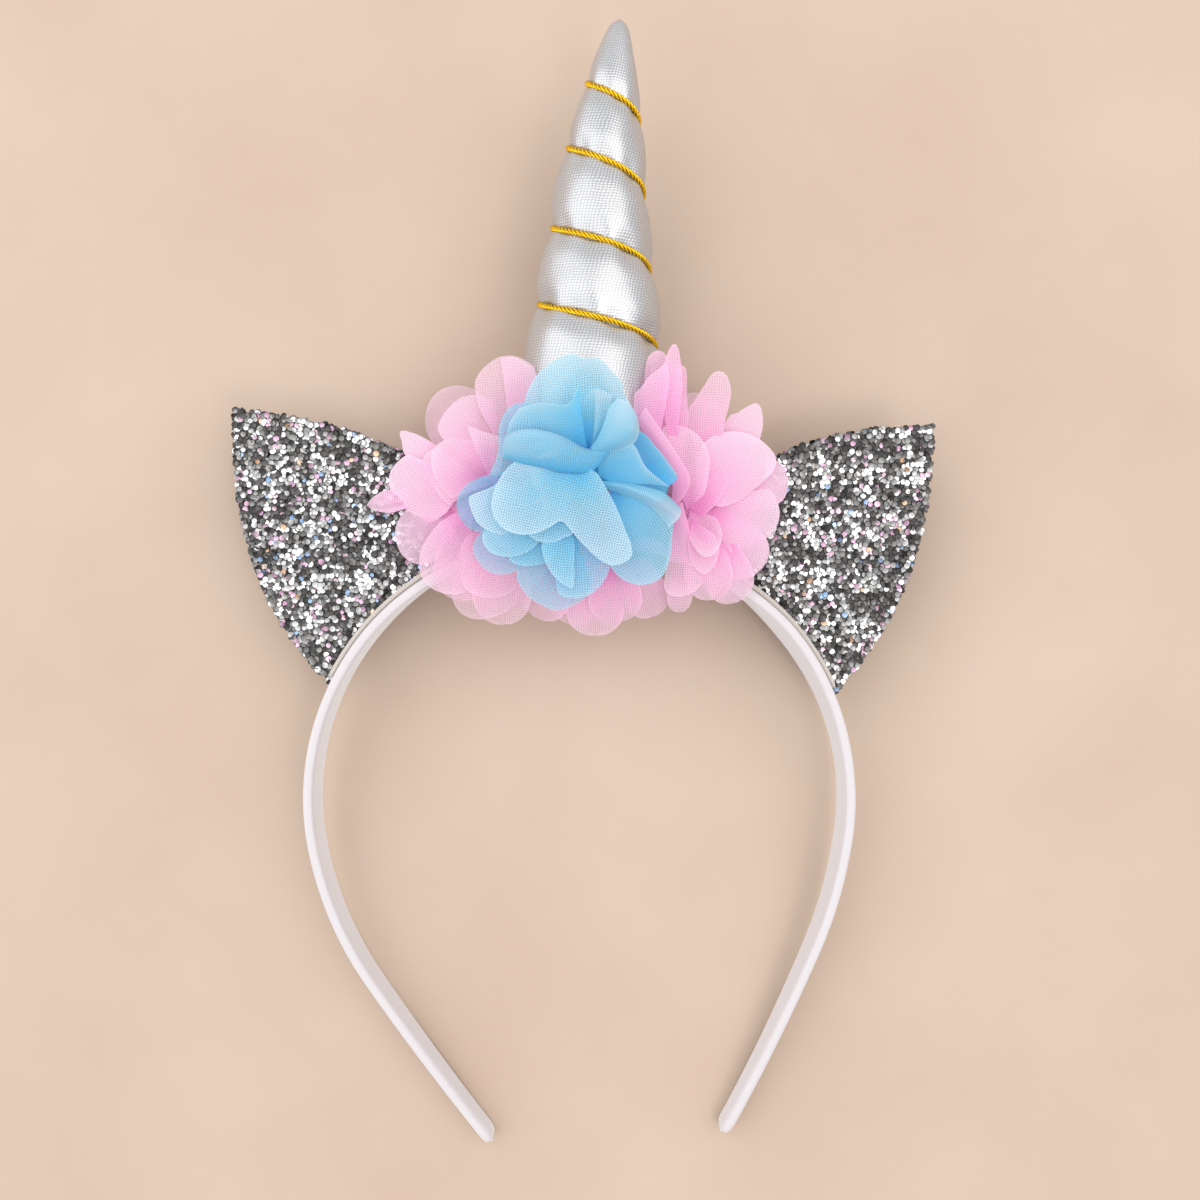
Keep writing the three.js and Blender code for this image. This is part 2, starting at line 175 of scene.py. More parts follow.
def mathNode(tree, operation, first, second=None):
    made = node(tree, "ShaderNodeMath", operation=operation)
    for socket, value in zip(made.inputs, (first, second)):
        if isinstance(value, (int, float)):
            socket.default_value = value
        elif value is not None:
            join(tree, value, socket)
    return made.outputs[0]


def weaveGroup():
    group = bpy.data.node_groups.new("threadWeave", "ShaderNodeTree")
    sockets = [("Threads per mm", "INPUT"), ("Slub", "INPUT"), ("Thread", "OUTPUT"), ("Height", "OUTPUT")]
    for name, way in sockets:
        group.interface.new_socket(name, in_out=way, socket_type="NodeSocketFloat")
    start = node(group, "NodeGroupInput").outputs
    stop = node(group, "NodeGroupOutput").inputs
    cloth = node(group, "ShaderNodeUVMap", uv_map="cloth").outputs["UV"]
    noise = node(group, "ShaderNodeTexNoise", noise_dimensions="2D")
    setInputs(noise, {"Scale": 0.35, "Detail": 2})
    join(group, cloth, noise.inputs["Vector"])
    wander = mathNode(group, "MULTIPLY", noise.outputs["Fac"], start["Slub"])
    parts = node(group, "ShaderNodeSeparateXYZ")
    join(group, cloth, parts.inputs[0])
    waves = []
    for axis in ("X", "Y"):
        moved = mathNode(group, "ADD", parts.outputs[axis], wander)
        turned = mathNode(group, "MULTIPLY", moved, start["Threads per mm"])
        wave = mathNode(group, "SINE", mathNode(group, "MULTIPLY", turned, 2 * pi))
        waves.append(mathNode(group, "ADD", mathNode(group, "MULTIPLY", wave, 0.5), 0.5))
    join(group, mathNode(group, "MAXIMUM", *waves), stop["Thread"])
    join(group, mathNode(group, "MULTIPLY", *waves), stop["Height"])
    return group


threadWeave = weaveGroup()


def newMaterial(name):
    material = bpy.data.materials.new(name)
    material.use_nodes = True
    tree = material.node_tree
    return material, tree, tree.nodes["Principled BSDF"]


def placeWeave(tree, threadsPerMm, slub):
    weave = node(tree, "ShaderNodeGroup", node_tree=threadWeave)
    setInputs(weave, {"Threads per mm": threadsPerMm, "Slub": slub})
    return weave.outputs


def bumpFrom(tree, shader, height, strength, distance):
    bump = node(tree, "ShaderNodeBump")
    setInputs(bump, {"Strength": strength, "Distance": distance})
    join(tree, height, bump.inputs["Height"])
    join(tree, bump.outputs["Normal"], shader.inputs["Normal"])


def colourRamp(tree, factor, stops):
    ramp = node(tree, "ShaderNodeValToRGB")
    while len(ramp.color_ramp.elements) < len(stops):
        ramp.color_ramp.elements.new(1.0)
    for element, (at, *colour) in zip(ramp.color_ramp.elements, stops):
        element.position = at
        element.color = linear(*colour)
    join(tree, factor, ramp.inputs["Fac"])
    return ramp.outputs["Color"]


def mixShaders(tree, share, first, second):
    mixed = node(tree, "ShaderNodeMixShader")
    if isinstance(share, float):
        mixed.inputs["Fac"].default_value = share
    else:
        join(tree, share, mixed.inputs["Fac"])
    join(tree, first.outputs[0], mixed.inputs[1])
    join(tree, second.outputs[0], mixed.inputs[2])
    return mixed


def chiffon(name, look):
    material, tree, shader = newMaterial(name)
    weave = placeWeave(tree, look["threadsPerMm"], look["slub"])
    pale, rim, thin = [
        node(tree, "ShaderNodeAttribute", attribute_name=mark).outputs["Fac"] for mark in petalMarks
    ]
    # the first mark mixes dye paling towards a tip with painted shade, deep at the foot and on petals set
    # low; the rim pales the cut edge
    paleLitAndRim = mathNode(tree, "ADD", pale, mathNode(tree, "MULTIPLY", rim, look["rimPale"]))
    woven = node(tree, "ShaderNodeMix", data_type="RGBA", blend_type="MULTIPLY")
    woven.inputs["Factor"].default_value = 1.0
    join(tree, colourRamp(tree, paleLitAndRim, look["dyeAndShade"]), woven.inputs["A"])
    join(tree, colourRamp(tree, weave["Thread"], look["threadTone"]), woven.inputs["B"])
    colour = woven.outputs["Result"]
    join(tree, colour, shader.inputs["Base Color"])
    setInputs(shader, look["shine"])
    bumpFrom(tree, shader, weave["Height"], *look["relief"])
    through = node(tree, "ShaderNodeBsdfTranslucent")
    join(tree, colour, through.inputs["Color"])
    lit = mixShaders(tree, look["glow"], shader, through)
    # Threads cover, and the holes between them let the ground through; a pale tip is more open.
    marks = {"threadCover": weave["Thread"], "paleCover": pale, "rimCover": rim, "thinCover": thin}
    alpha = look["cover"]
    for key, mark in marks.items():
        alpha = mathNode(tree, "ADD", mathNode(tree, "MULTIPLY", mark, look[key]), alpha)
    clear = node(tree, "ShaderNodeBsdfTransparent")
    sheer = mixShaders(tree, mathNode(tree, "MINIMUM", alpha, 1.0), clear, lit)
    join(tree, sheer.outputs[0], tree.nodes["Material Output"].inputs["Surface"])
    return material


def wovenMaterial(name, threadsPerMm, slub, tonesBy, tones, relief, shine):
    material, tree, shader = newMaterial(name)
    weave = placeWeave(tree, threadsPerMm, slub)
    join(tree, colourRamp(tree, weave[tonesBy], tones), shader.inputs["Base Color"])
    setInputs(shader, shine)
    bumpFrom(tree, shader, weave["Height"], *relief)
    return material


def grainMaterial(name, grain, tones, roughness, relief=None):
    material, tree, shader = newMaterial(name)
    place = node(tree, "ShaderNodeTexCoord")
    noise = node(tree, "ShaderNodeTexNoise")
    setInputs(noise, grain)
    join(tree, place.outputs["Object"], noise.inputs["Vector"])
    join(tree, colourRamp(tree, noise.outputs["Fac"], tones), shader.inputs["Base Color"])
    shader.inputs["Roughness"].default_value = roughness
    if relief:
        bumpFrom(tree, shader, noise.outputs["Fac"], *relief)
    return material


def flakeMaterial(name, shine):
    material, tree, shader = newMaterial(name)
    tintAndGlint = node(tree, "ShaderNodeAttribute", attribute_name="flakeTintAndGlint")
    join(tree, tintAndGlint.outputs["Color"], shader.inputs["Base Color"])
    setInputs(shader, shine)
    return material


chiffonLook = {
    "threadsPerMm": 2, "slub": 0.7, "glow": 0.4, "rimPale": 0.2, "relief": (0.2, 0.0002),
    "cover": 0.68, "threadCover": 0.24, "paleCover": -0.18, "rimCover": 0.1, "thinCover": -0.3,
    "threadTone": [(0.2, 232, 229, 234), (0.9, 255, 255, 255)],
    "shine": {"Roughness": 0.8, "Sheen Weight": 0.3, "Sheen Roughness": 0.4, "Specular IOR Level": 0.25},
}
# Each dye ramp runs from deep to pale: its deep end is partly the dye where the cloth gathers and partly
# painted shade at the roots, in fold valleys and under other petals.
blueChiffon = chiffon("blueChiffon", {
    **chiffonLook, "threadCover": 0.36, "threadTone": [(0.2, 196, 208, 218), (0.9, 255, 255, 255)],
    "dyeAndShade": [(0, 72, 158, 220), (0.13, 100, 194, 234), (0.45, 153, 214, 235), (1, 207, 232, 241)],
})
pinkChiffon = chiffon("pinkChiffon", {
    **chiffonLook, "dyeAndShade": [(0, 251, 155, 216), (0.4, 254, 198, 231), (1, 254, 221, 239)],
})
satinLook = {
    "slub": 0.2, "tonesBy": "Height", "relief": (0.12, 0.0001),
    "shine": {"Roughness": 0.55, "Specular IOR Level": 0.25, "Sheen Weight": 0.9},
}
whiteSatin = wovenMaterial("whiteSatin", 3, tones=[(0, 192, 186, 189), (1, 208, 203, 206)], **satinLook)
earTape = wovenMaterial("earTape", 1.6, tones=[(0, 172, 163, 155), (1, 204, 197, 190)], **satinLook)
silverLame = wovenMaterial(
    "silverLame", 1.7, 0.6, "Height", tones=[(0, 172, 173, 176), (0.35, 197, 198, 200), (1, 214, 214, 216)],
    relief=(0.15, 0.0003), shine={"Metallic": 0.65, "Roughness": 0.32},
)
goldCord = wovenMaterial(
    "goldCord", 3, 0.3, "Thread", tones=[(0.3, 208, 124, 2), (0.95, 255, 220, 34)],
    relief=(0.3, 0.0001), shine={"Metallic": 0.75, "Roughness": 0.24},
)
silverGlitter = flakeMaterial("silverGlitter", shine={"Metallic": 0.65, "Roughness": 0.24})
# The card under the flakes is dark: partly its own colour, partly painted shade in the gaps between the
# flakes.
glitterCard = grainMaterial(
    "glitterCard", {"Scale": 900}, tones=[(0.35, 34, 34, 36), (0.65, 78, 76, 76)],
    roughness=0.6, relief=(0.4, 0.0003),
)
paleFloor = grainMaterial(
    "paleFloor", {"Scale": 14, "Detail": 4}, tones=[(0.3, 180, 158, 141), (0.7, 187, 167, 151)],
    roughness=0.8,
)
print("materials ready")

# Camera straight above, at the photograph's height and lens.
view = {"place": (3.81, 1.53, 270.13), "lens": 33.6, "sensor": 36, "nearest": 0.01}
camera = addObject("camera", bpy.data.cameras.new("camera"))
camera.data.lens = view["lens"]
camera.data.sensor_width = view["sensor"]
camera.data.clip_start = view["nearest"]
camera.location = [v * mm for v in view["place"]]
bpy.context.scene.camera = camera


# Satin band: a rounded strip carried along tangent arcs, each with its radius and its sweep in degrees.
band = dict(
    thickness=2.4, crownWidth=11, tipWidth=6.5, taper=120, crownRadius=61.7,
    left=[(61.7, 98.8), (84.5, 24.1), (700, 3.95)],
    right=[(61.7, 96.4), (108.5, 15.2), (500, 5.25), (11, 20)],
    leanAngles=[-130, -50, -28, 28, 50, 85, 130],
    leans=[0, 3, 0, 0, 10, 3, 0],
    # powers that shape the section's faces and edges: firm, and what softness adds
    facePower=(0.5, 0.45), edgePower=(0.21, 0.7),
    # the legs grow softer and rounder over softRun, and close over endRun
    softRun=60, softest=0.8, swell=0.3, endRun=3, endHeight=0.35,
    step=2, stations=1999, rows=360, columns=40, ribbon=26, endSides=60,
)
leanAt = smoothTable(band["leanAngles"], band["leans"], eased=True)


def leanSlope(angle):
    return np.tan(np.radians(leanAt(np.degrees(angle))))


def legLine(arcs, side):
    x, y, turned = 0.0, band["crownRadius"], 0.0
    line = []
    for radius, sweep in arcs:
        count = max(2, round(radius * radians(sweep) / band["step"]))
        angles = turned + radians(sweep) * np.arange(1, count + 1) / count
        xs = x + radius * (np.sin(angles) - sin(turned))
        ys = y + radius * (np.cos(angles) - cos(turned))
        line += [(side * a, b, side * c) for a, b, c in zip(xs, ys, angles)]
        x, y, turned = xs[-1], ys[-1], turned + radians(sweep)
    return line


def roundedStrip(line, section, bm, look):
    # section gives the offset outwards and the height, in mm, at the share u of the way round
    run = runAlong(line[:, :2])
    last = band["stations"]
    at = np.linspace(0, run[-1], last + 1)
    path = stack([np.interp(at, run, line[:, i]) for i in range(3)])

    def surface(u, v):
        i = np.clip((v * last).round().astype(int), 0, last)
        x, y, angle = path[i].T
        out, z = section(u, v, y, angle, np.minimum(at[i], run[-1] - at[i]))
        points = stack([x + out * np.sin(angle), y + out * np.cos(angle), z])
        return liftToRest(points), stack([at[i], u * band["ribbon"]])

    addSurface(bm, look, surface)
    weld(bm)
    bmesh.ops.holes_fill(bm, edges=bm.edges, sides=band["endSides"])
    turnOutwards(bm)


def roundedBox(u, halfThick, width, soft):
    angle = 2 * pi * u
    c, s = np.cos(angle), np.sin(angle)
    face, edge = [firm + more * soft for firm, more in (band["facePower"], band["edgePower"])]
    out = np.sign(c) * np.abs(c) ** face * halfThick
    up = np.sign(s) * np.abs(s) ** edge * width / 2
    return out, up + width / 2


def bandSection(u, v, y, angle, toEnd):
    rise = np.clip((y - lying["tipY"]) / band["taper"], 0, 1)
    width = band["tipWidth"] + (band["crownWidth"] - band["tipWidth"]) * rise
    end = np.clip(toEnd / band["endRun"], 0, 1)
    close = np.sqrt(end * (2 - end))
    soft = np.clip(1 - toEnd / band["softRun"], 0, 1)
    halfThick = band["thickness"] / 2 * (1 + band["swell"] * soft)
    out, z = roundedBox(u, halfThick, width, soft * band["softest"])
    middle = width / 2
    shifted = out * close + leanSlope(angle) * (z - middle)
    return shifted, middle + (z - middle) * (band["endHeight"] + (1 - band["endHeight"]) * close)


def makeHeadband():
    crown = [(0.0, band["crownRadius"], 0.0)]
    line = np.array(legLine(band["left"], -1)[::-1] + crown + legLine(band["right"], 1))
    bm = bmesh.new()
    roundedStrip(line, bandSection, bm, band)
    finishPiece("headband_satin", bm, whiteSatin, "headband")


makeHeadband()
print("headband made")

# Stuffed horn: rings round a bent axis, drawn in by the cord that winds round it.
hornLook = dict(
    at=[0, 0.465, 0.717, 1],
    x=[1.6, 4, 5.5, 9.1], y=[63.4, 115, 143, 174.8], z=[5.5, 5.6, 5.5, 5],
    radiusAt=[0, 0.035, 0.11, 0.25, 0.4, 0.55, 0.7, 0.8, 0.88, 0.94, 0.985, 1],
    radius=[15, 17.2, 18, 16.9, 14.9, 12.3, 9.9, 7.8, 5.7, 3.8, 1.9, 0],
    turns=[6, 5, 4, 3, 2, 1, 0, -1],
    turnsAt=[-0.01, 0.14, 0.293, 0.444, 0.594, 0.746, 0.871, 0.99],
    pinch=0.115, pinchHalfWidth=0.2, notch=0.55, notchHalfWidth=0.04,
    # laps between which the cord draws the cloth in, and over how much of a lap it lets go
    firstLap=-0.6, firstFade=0.3, lastLap=4, lastFade=0.4,
    pucker=0.02, puckersPerLap=9.3, puckerHalfWidth=0.22,
    # uneven stuffing: share of the radius, waves round, waves along, start
    swells=[(0.012, 3, 2.1, 0), (0.01, 5, -4.3, 1)],
    tipFade=0.08, tipCrowd=1.08, axisStep=0.01,
    baseShare=0.06, basePower=0.6, baseSet=1.5, baseClear=1,
    clothRound=100, clothTip=0.25, clothLength=111, rows=320, columns=160,
)
axisX, axisY, axisZ = [smoothTable(hornLook["at"], hornLook[key]) for key in ("x", "y", "z")]
hornRadius = smoothTable(hornLook["radiusAt"], hornLook["radius"])
turnAtShare = smoothTable(hornLook["turnsAt"], hornLook["turns"])
shareAtTurn = smoothTable(hornLook["turns"][::-1], hornLook["turnsAt"][::-1])


def axisPoint(at):
    return np.stack([axisX(at), axisY(at), axisZ(at)], axis=-1)


def roundAxis(at, turn, radius):
    along = unit(axisPoint(at + hornLook["axisStep"]) - axisPoint(at - hornLook["axisStep"]))
    right = unit(stack([along[:, 1], -along[:, 0], np.zeros(len(along))]))
    up = np.cross(right, along)
    angle = 2 * pi * turn
    return axisPoint(at) - (radius * np.cos(angle))[:, None] * right + (radius * np.sin(angle))[:, None] * up


def bell(off, halfWidth):
    return np.exp(-((off / halfWidth) ** 2))


def hornSkin(at, turn):
    ahead = turnAtShare(at) - turn
    off, lap = ahead - np.round(ahead), turn + np.round(ahead)
    wound = np.clip((hornLook["lastLap"] - lap) / hornLook["lastFade"], 0, 1)
    wound = wound * np.clip((lap - hornLook["firstLap"]) / hornLook["firstFade"], 0, 1)
    pucker = np.sin(2 * pi * hornLook["puckersPerLap"] * lap) * hornLook["pucker"]
    pucker = pucker * bell(off, hornLook["puckerHalfWidth"])
    slow = sum(size * np.sin(2 * pi * (a * turn + b * at) + c) for size, a, b, c in hornLook["swells"])
    fade = np.clip((1 - at) / hornLook["tipFade"], 0, 1)
    groove = hornLook["pinch"] * bell(off, hornLook["pinchHalfWidth"]) * wound
    notch = hornLook["notch"] * bell(off, hornLook["notchHalfWidth"]) * fade * wound
    return hornRadius(at) * (1 - groove + (pucker * wound + slow) * fade) - notch


def makeHorn():
    def surface(u, v):
        base = np.clip(v / hornLook["baseShare"], 0, 1)
        at = np.clip((v - hornLook["baseShare"]) / (1 - hornLook["baseShare"]), 0, 1)
        at = 1 - (1 - at) ** hornLook["tipCrowd"]
        radius = hornSkin(at, u) * np.sin(base * pi / 2) ** hornLook["basePower"]
        points = liftToRest(roundAxis(at, u, radius))
        points[:, 1] += (1 - base) * hornLook["baseSet"]
        narrowed = hornLook["clothTip"] + (1 - hornLook["clothTip"]) * (1 - at)
        return points, stack([u * hornLook["clothRound"] * narrowed, at * hornLook["clothLength"]])

    bm = bmesh.new()
    addSurface(bm, hornLook, surface)
    weld(bm)
    return finishPiece("horn_lame", bm, silverLame, "horn")


horn = makeHorn()
print("horn made")

# Gold cord: three strands twisted round each other, wound in the horn's groove.
cord = dict(
    strands=3, strandRadius=0.29, strandOffset=0.34, twistLength=3.2, rise=0.05,
    firstTurn=-0.35, lastTurn=3.62, samples=6000, rows=2200, columns=7,
    endRun=1, endLeast=0.02, endPower=0.5, strandWrap=2.2, endSides=12,
)


def makeCord():
    turn = np.linspace(cord["firstTurn"], cord["lastTurn"], cord["samples"])
    at = shareAtTurn(turn)
    groove = hornRadius(at) * (1 - hornLook["pinch"])
    line = roundAxis(at, turn, groove + cord["rise"])
    run = runAlong(line)
    last = cord["rows"]
    even = np.linspace(0, run[-1], last + 1)
    path = stack([np.interp(even, run, line[:, i]) for i in range(3)])
    along = unit(np.gradient(path, axis=0))
    outward = path - axisPoint(np.interp(even, run, at))
    outward = unit(outward - (outward * along).sum(1, keepdims=True) * along)
    across = np.cross(along, outward)
    toEnd = np.minimum(even, even[-1] - even) / cord["endRun"]
    wide = cord["strandRadius"] * np.clip(toEnd, cord["endLeast"], 1) ** cord["endPower"]
    bm = bmesh.new()
    for strand in range(cord["strands"]):
        spun = 2 * pi * (even / cord["twistLength"] + strand / cord["strands"])

        def surface(u, v):
            i = np.clip((v * last).round().astype(int), 0, last)
            turned = 2 * pi * u + spun[i]
            out = cord["strandOffset"] * np.cos(spun[i]) + wide[i] * np.cos(turned)
            side = cord["strandOffset"] * np.sin(spun[i]) + wide[i] * np.sin(turned)
            points = path[i] + out[:, None] * outward[i] + side[:, None] * across[i]
            return points, stack([even[i], u * cord["strandWrap"]])

        addSurface(bm, cord, surface)
    weld(bm)
    bmesh.ops.holes_fill(bm, edges=bm.edges, sides=cord["endSides"])
    print("cord length", round(float(run[-1]), 1), "mm")
    finishPiece("horn_cord_gold", bm, goldCord, "horn_cord")


makeCord()
print("cord made")

# Ears: a leaf of card on a glued foot, covered in flakes on both faces and along its edges.
earLook = dict(
    card=1.3, middle=5.5, columns=30, rows=36, tipWeld=0.00005, edgePoints=60,
    footThick=1.3, footHeight=8, footEnd=1.5, footSoft=0.1, footFade=0.03, footLeast=0.05,
    footPoints=60, footGrid=dict(rows=50, columns=32),
)
ears = {
    "ear_left": dict(
        low=-63.5, high=-25, tip=(-77, 89.7), outer=(-79.4, 51), inner=(-26, 85), seed=11, bright=0.28,
    ),
    "ear_right": dict(
        low=66, high=24, tip=(79, 86.1), outer=(80.2, 50), inner=(36, 86), seed=23, bright=0.25,
    ),
}
flake = dict(
    radius=0.72, thick=0.07, top=0.84, sides=9, sizes=(0.8, 1.15), tilt=0.22,
    lift=(0.05, 0.5), spacing=1.08, rowShare=0.87, jitter=0.3, lowerJitter=0.2,
    rimFlakes=500, rim=0.35, rimSide=0.9, rimTilt=2.5,
    edgeShadow=0.12, fall=0.6, fallSpread=0.8, flakeColourRange=(0.01, 0.96),
    # shares of bright flakes in a patch, of middling ones after them, and where each coloured tint ends
    patchShare=0.15, patchWaves=(0.62, 1.7, 0.31, 0.55), brightRange=(0.08, 0.75), middling=0.3,
    coloured=[(5, 0.088), (4, 0.08), (3, 0.065)],
    # darkest and lightest of each tint: the bright, middling and dark silver ones are painted reflection,
    #     # flakes tilted towards the light, part way and away from it; the last three are coloured
    tintsAndGlints=[
        ((0.44, 0.44, 0.44), (0.94, 0.94, 0.93)),
        ((0.13, 0.128, 0.126), (0.34, 0.336, 0.332)),
        ((0.028, 0.026, 0.025), (0.11, 0.104, 0.10)),
        ((0.42, 0.24, 0.35), (0.62, 0.44, 0.54)),
        ((0.18, 0.28, 0.47), (0.34, 0.44, 0.60)),
        ((0.47, 0.28, 0.17), (0.62, 0.44, 0.32)),
    ],
)
footReach = band["crownRadius"] + band["thickness"] / 2 + earLook["footThick"] / 2


def onArc(angle, radius):
    return np.stack([radius * np.sin(np.radians(angle)), radius * np.cos(np.radians(angle))], axis=-1)


def bentEdge(start, pull, end, t):
    t = np.asarray(t)[..., None]
    return (1 - t) ** 2 * np.array(start) + 2 * t * (1 - t) * np.array(pull) + t**2 * np.array(end)


def earPlan(ear, u, v):
    low, high = onArc(ear["low"], footReach), onArc(ear["high"], footReach)
    outer = bentEdge(low, ear["outer"], ear["tip"], v)
    inner = bentEdge(high, ear["inner"], ear["tip"], v)
    arc = onArc(ear["low"] + (ear["high"] - ear["low"]) * u, footReach)
    chord = low + (high - low) * u[:, None]
    return outer + (inner - outer) * u[:, None] + (arc - chord) * ((1 - v) ** 2)[:, None]


def leanWithBand(points):
    angle = np.arctan2(points[:, 0], points[:, 1])
    shift = leanSlope(angle) * (points[:, 2] - earLook["middle"])
    moved = points.copy()
    moved[:, 0] += shift * np.sin(angle)
    moved[:, 1] += shift * np.cos(angle)
    return moved


def makeEarCard(name, ear):
    def surface(u, v):
        plan = earPlan(ear, u, v)
        points = stack([plan, np.full(len(u), earLook["middle"] - earLook["card"] / 2)])
        return leanWithBand(points), plan

    bm = bmesh.new()
    addSurface(bm, earLook, surface)
    weld(bm, earLook["tipWeld"])
    if sum(f.normal.z for f in bm.faces) > 0:
        bmesh.ops.reverse_faces(bm, faces=bm.faces)
    bmesh.ops.solidify(bm, geom=bm.faces[:], thickness=earLook["card"] * mm)
    turnOutwards(bm)
    finishPiece(name + "_card", bm, glitterCard, name, smooth=False)


def makeEarFoot(name, ear):
    inset = earLook["footEnd"] if ear["low"] < ear["high"] else -earLook["footEnd"]
    angles = np.linspace(ear["low"] + inset, ear["high"] - inset, earLook["footPoints"])
    line = stack([onArc(angles, footReach), np.radians(angles)])

    def section(u, v, y, angle, toEnd):
        out, z = roundedBox(u, earLook["footThick"] / 2, earLook["footHeight"], earLook["footSoft"])
        up = z - earLook["footHeight"] / 2
        ends = np.sqrt(np.clip(np.minimum(v, 1 - v) / earLook["footFade"], earLook["footLeast"], 1))
        return out * ends + leanSlope(angle) * up, up + earLook["middle"]

    bm = bmesh.new()
    roundedStrip(line, section, bm, earLook["footGrid"])
    finishPiece(name + "_foot", bm, earTape)


def insideLoop(points, loop):
    x, y = points.T
    inside = np.zeros(len(points), bool)
    for (x0, y0), (x1, y1) in zip(loop, np.roll(loop, -1, axis=0)):
        crosses = (y0 > y) != (y1 > y)
        inside ^= crosses & (x < (x1 - x0) * (y - y0) / (y1 - y0 + 1e-12) + x0)
    return inside


def flakeShape():
    bm = bmesh.new()
    bmesh.ops.create_cone(
        bm, cap_ends=True, segments=flake["sides"], radius1=1, radius2=flake["top"],
        depth=flake["thick"] / flake["radius"],
    )
    points = np.array([v.co[:] for v in bm.verts])
    bm.verts.index_update()
    faces = [[v.index for v in f.verts] for f in bm.faces]
    bm.free()
    return points, faces


def spread(rng, size, shape):
    return rng.uniform(-size, size, shape)


def flakeSpots(ear, rng):
    edge = np.linspace(0, 1, earLook["edgePoints"])
    none, full = np.zeros(len(edge)), np.ones(len(edge))
    sides = [(edge, none), (full, edge), (none, edge[::-1])]
    loop = np.concatenate([earPlan(ear, u, v) for u, v in sides])
    low, high = loop.min(0), loop.max(0)
    step, many = flake["spacing"], flake["rimFlakes"]
    rows = np.arange(low[1], high[1], step * flake["rowShare"])
    gx, gy = np.meshgrid(np.arange(low[0], high[0], step), rows)
    gx[1::2] += step / 2
    spots = stack([gx.ravel(), gy.ravel()])
    spots = spots + spread(rng, flake["jitter"], spots.shape)
    upper = spots[insideLoop(spots, loop)]
    lower = upper + spread(rng, flake["lowerJitter"], upper.shape)
    rim = loop[rng.integers(0, len(loop), many)] + spread(rng, flake["rim"], (many, 2))
    face = np.concatenate([np.repeat([1.0, -1.0], len(upper)), spread(rng, flake["rimSide"], many)])
    return np.concatenate([upper, lower, rim]), face


def flakeTintsAndGlints(ear, spots, rng):
    # bright and dull patches, as flakes that lie alike catch the light together
    x, y = spots.T
    across, bend, along, drift = flake["patchWaves"]
    patch = np.sin(x * across + bend * np.sin(y * along)) + np.sin(y * drift + ear["seed"])
    bright = np.clip(ear["bright"] + flake["patchShare"] * patch, *flake["brightRange"])
    draw = rng.uniform(0, 1, len(spots))
    kind = np.where(draw < bright, 0, np.where(draw < bright + flake["middling"], 1, 2))
    draw = rng.uniform(0, 1, len(spots))
    for tintAndGlint, share in flake["coloured"]:
        kind = np.where(draw < share, tintAndGlint, kind)
    dark, light = np.array(flake["tintsAndGlints"])[kind].transpose(1, 0, 2)
    return dark + (light - dark) * rng.uniform(0, 1, (len(spots), 1))


def makeFlakes(name, ear):
    rng = np.random.default_rng(ear["seed"])
    spots, face = flakeSpots(ear, rng)
    count = len(spots)
    z = earLook["middle"] + face * (earLook["card"] / 2 + rng.uniform(*flake["lift"], count))
    places = leanWithBand(stack([spots, z]))
    tilt = rng.normal(0, flake["tilt"], (count, 2))
    tilt[-flake["rimFlakes"]:] *= flake["rimTilt"]
    spin = rng.uniform(0, 2 * pi, count)
    up = unit(stack([np.sin(tilt), np.ones(count)]))
    first = stack([np.cos(spin), np.sin(spin), np.zeros(count)])
    first = unit(first - (first * up).sum(1, keepdims=True) * up)
    second = np.cross(up, first)
    size = (flake["radius"] * rng.uniform(*flake["sizes"], count))[:, None, None]
    shape, faces = flakeShape()
    corners = len(shape)
    off = size * sum(shape[None, :, i:i + 1] * axis[:, None] for i, axis in enumerate((first, second, up)))
    mesh = bpy.data.meshes.new(name + "_flakes")
    allFaces = [[i + corners * k for i in f] for k in range(count) for f in faces]
    mesh.from_pydata(laidDown((places[:, None] + off).reshape(-1, 3)).tolist(), [], allFaces)
    # each flake's colour carries painted reflection, bright, middling or dark as if tilted to the light
    tintAndGlint = flakeTintsAndGlints(ear, spots, rng)
    # a flake's lower edge is painted dark as its shadow, which draws a line round it
    edgeShadow = np.where(shape[:, 2] < 0, flake["edgeShadow"], 1.0)
    # light falls off across a flake, mostly from its lower side up, as on overlapping scales
    fall = rng.normal(-pi / 2, flake["fallSpread"], count)
    across = off[:, :, :2] / size * stack([np.cos(fall), np.sin(fall)])[:, None]
    lit = 1 + flake["fall"] * across.sum(2)
    flat = np.clip(tintAndGlint[:, None] * (edgeShadow * lit)[:, :, None], *flake["flakeColourRange"])
    layer = mesh.color_attributes.new("flakeTintAndGlint", "FLOAT_COLOR", "POINT")
    layer.data.foreach_set("color", np.concatenate([flat, np.ones((count, corners, 1))], axis=2).ravel())
    addPiece(name + "_flakes", mesh, silverGlitter)
    print(name, count, "flakes")


for name, ear in ears.items():
    makeEarCard(name, ear)
    makeEarFoot(name, ear)
    makeFlakes(name, ear)
print("ears made")


# Flowers: sheer petals round a gathered middle, in mm of the headband's plane.
petalLook = dict(
    rows=30, columns=22, foot=0.55, widest=0.6, crowd=1.5, droop=1.3, gatherPower=1.5,
    wave=0.35, waveTurns=2.2, waveSkew=3, rimWidth=0.35, hornGap=0.5, restGap=0.3,
)
fanLook = dict(
    rows=30, columns=64, headings=200, crowd=1.4, lobeBlend=22, farthest=1.15, ripple=0.35, ripples=5,
)
# the root share keeps a drape's root deeper: partly gathered dye, partly painted shade
drapeLook = dict(rows=40, columns=60, fullness=1.6, hem=2, rootPaleAndLit=0.3)
coreLook = dict(
    rows=12, columns=54, folds=9, foldDepth=0.14, waves=7, waveHeight=0.5, pale=0.5,
    hornGap=0.4,
)
flowerWeld = 0.000002


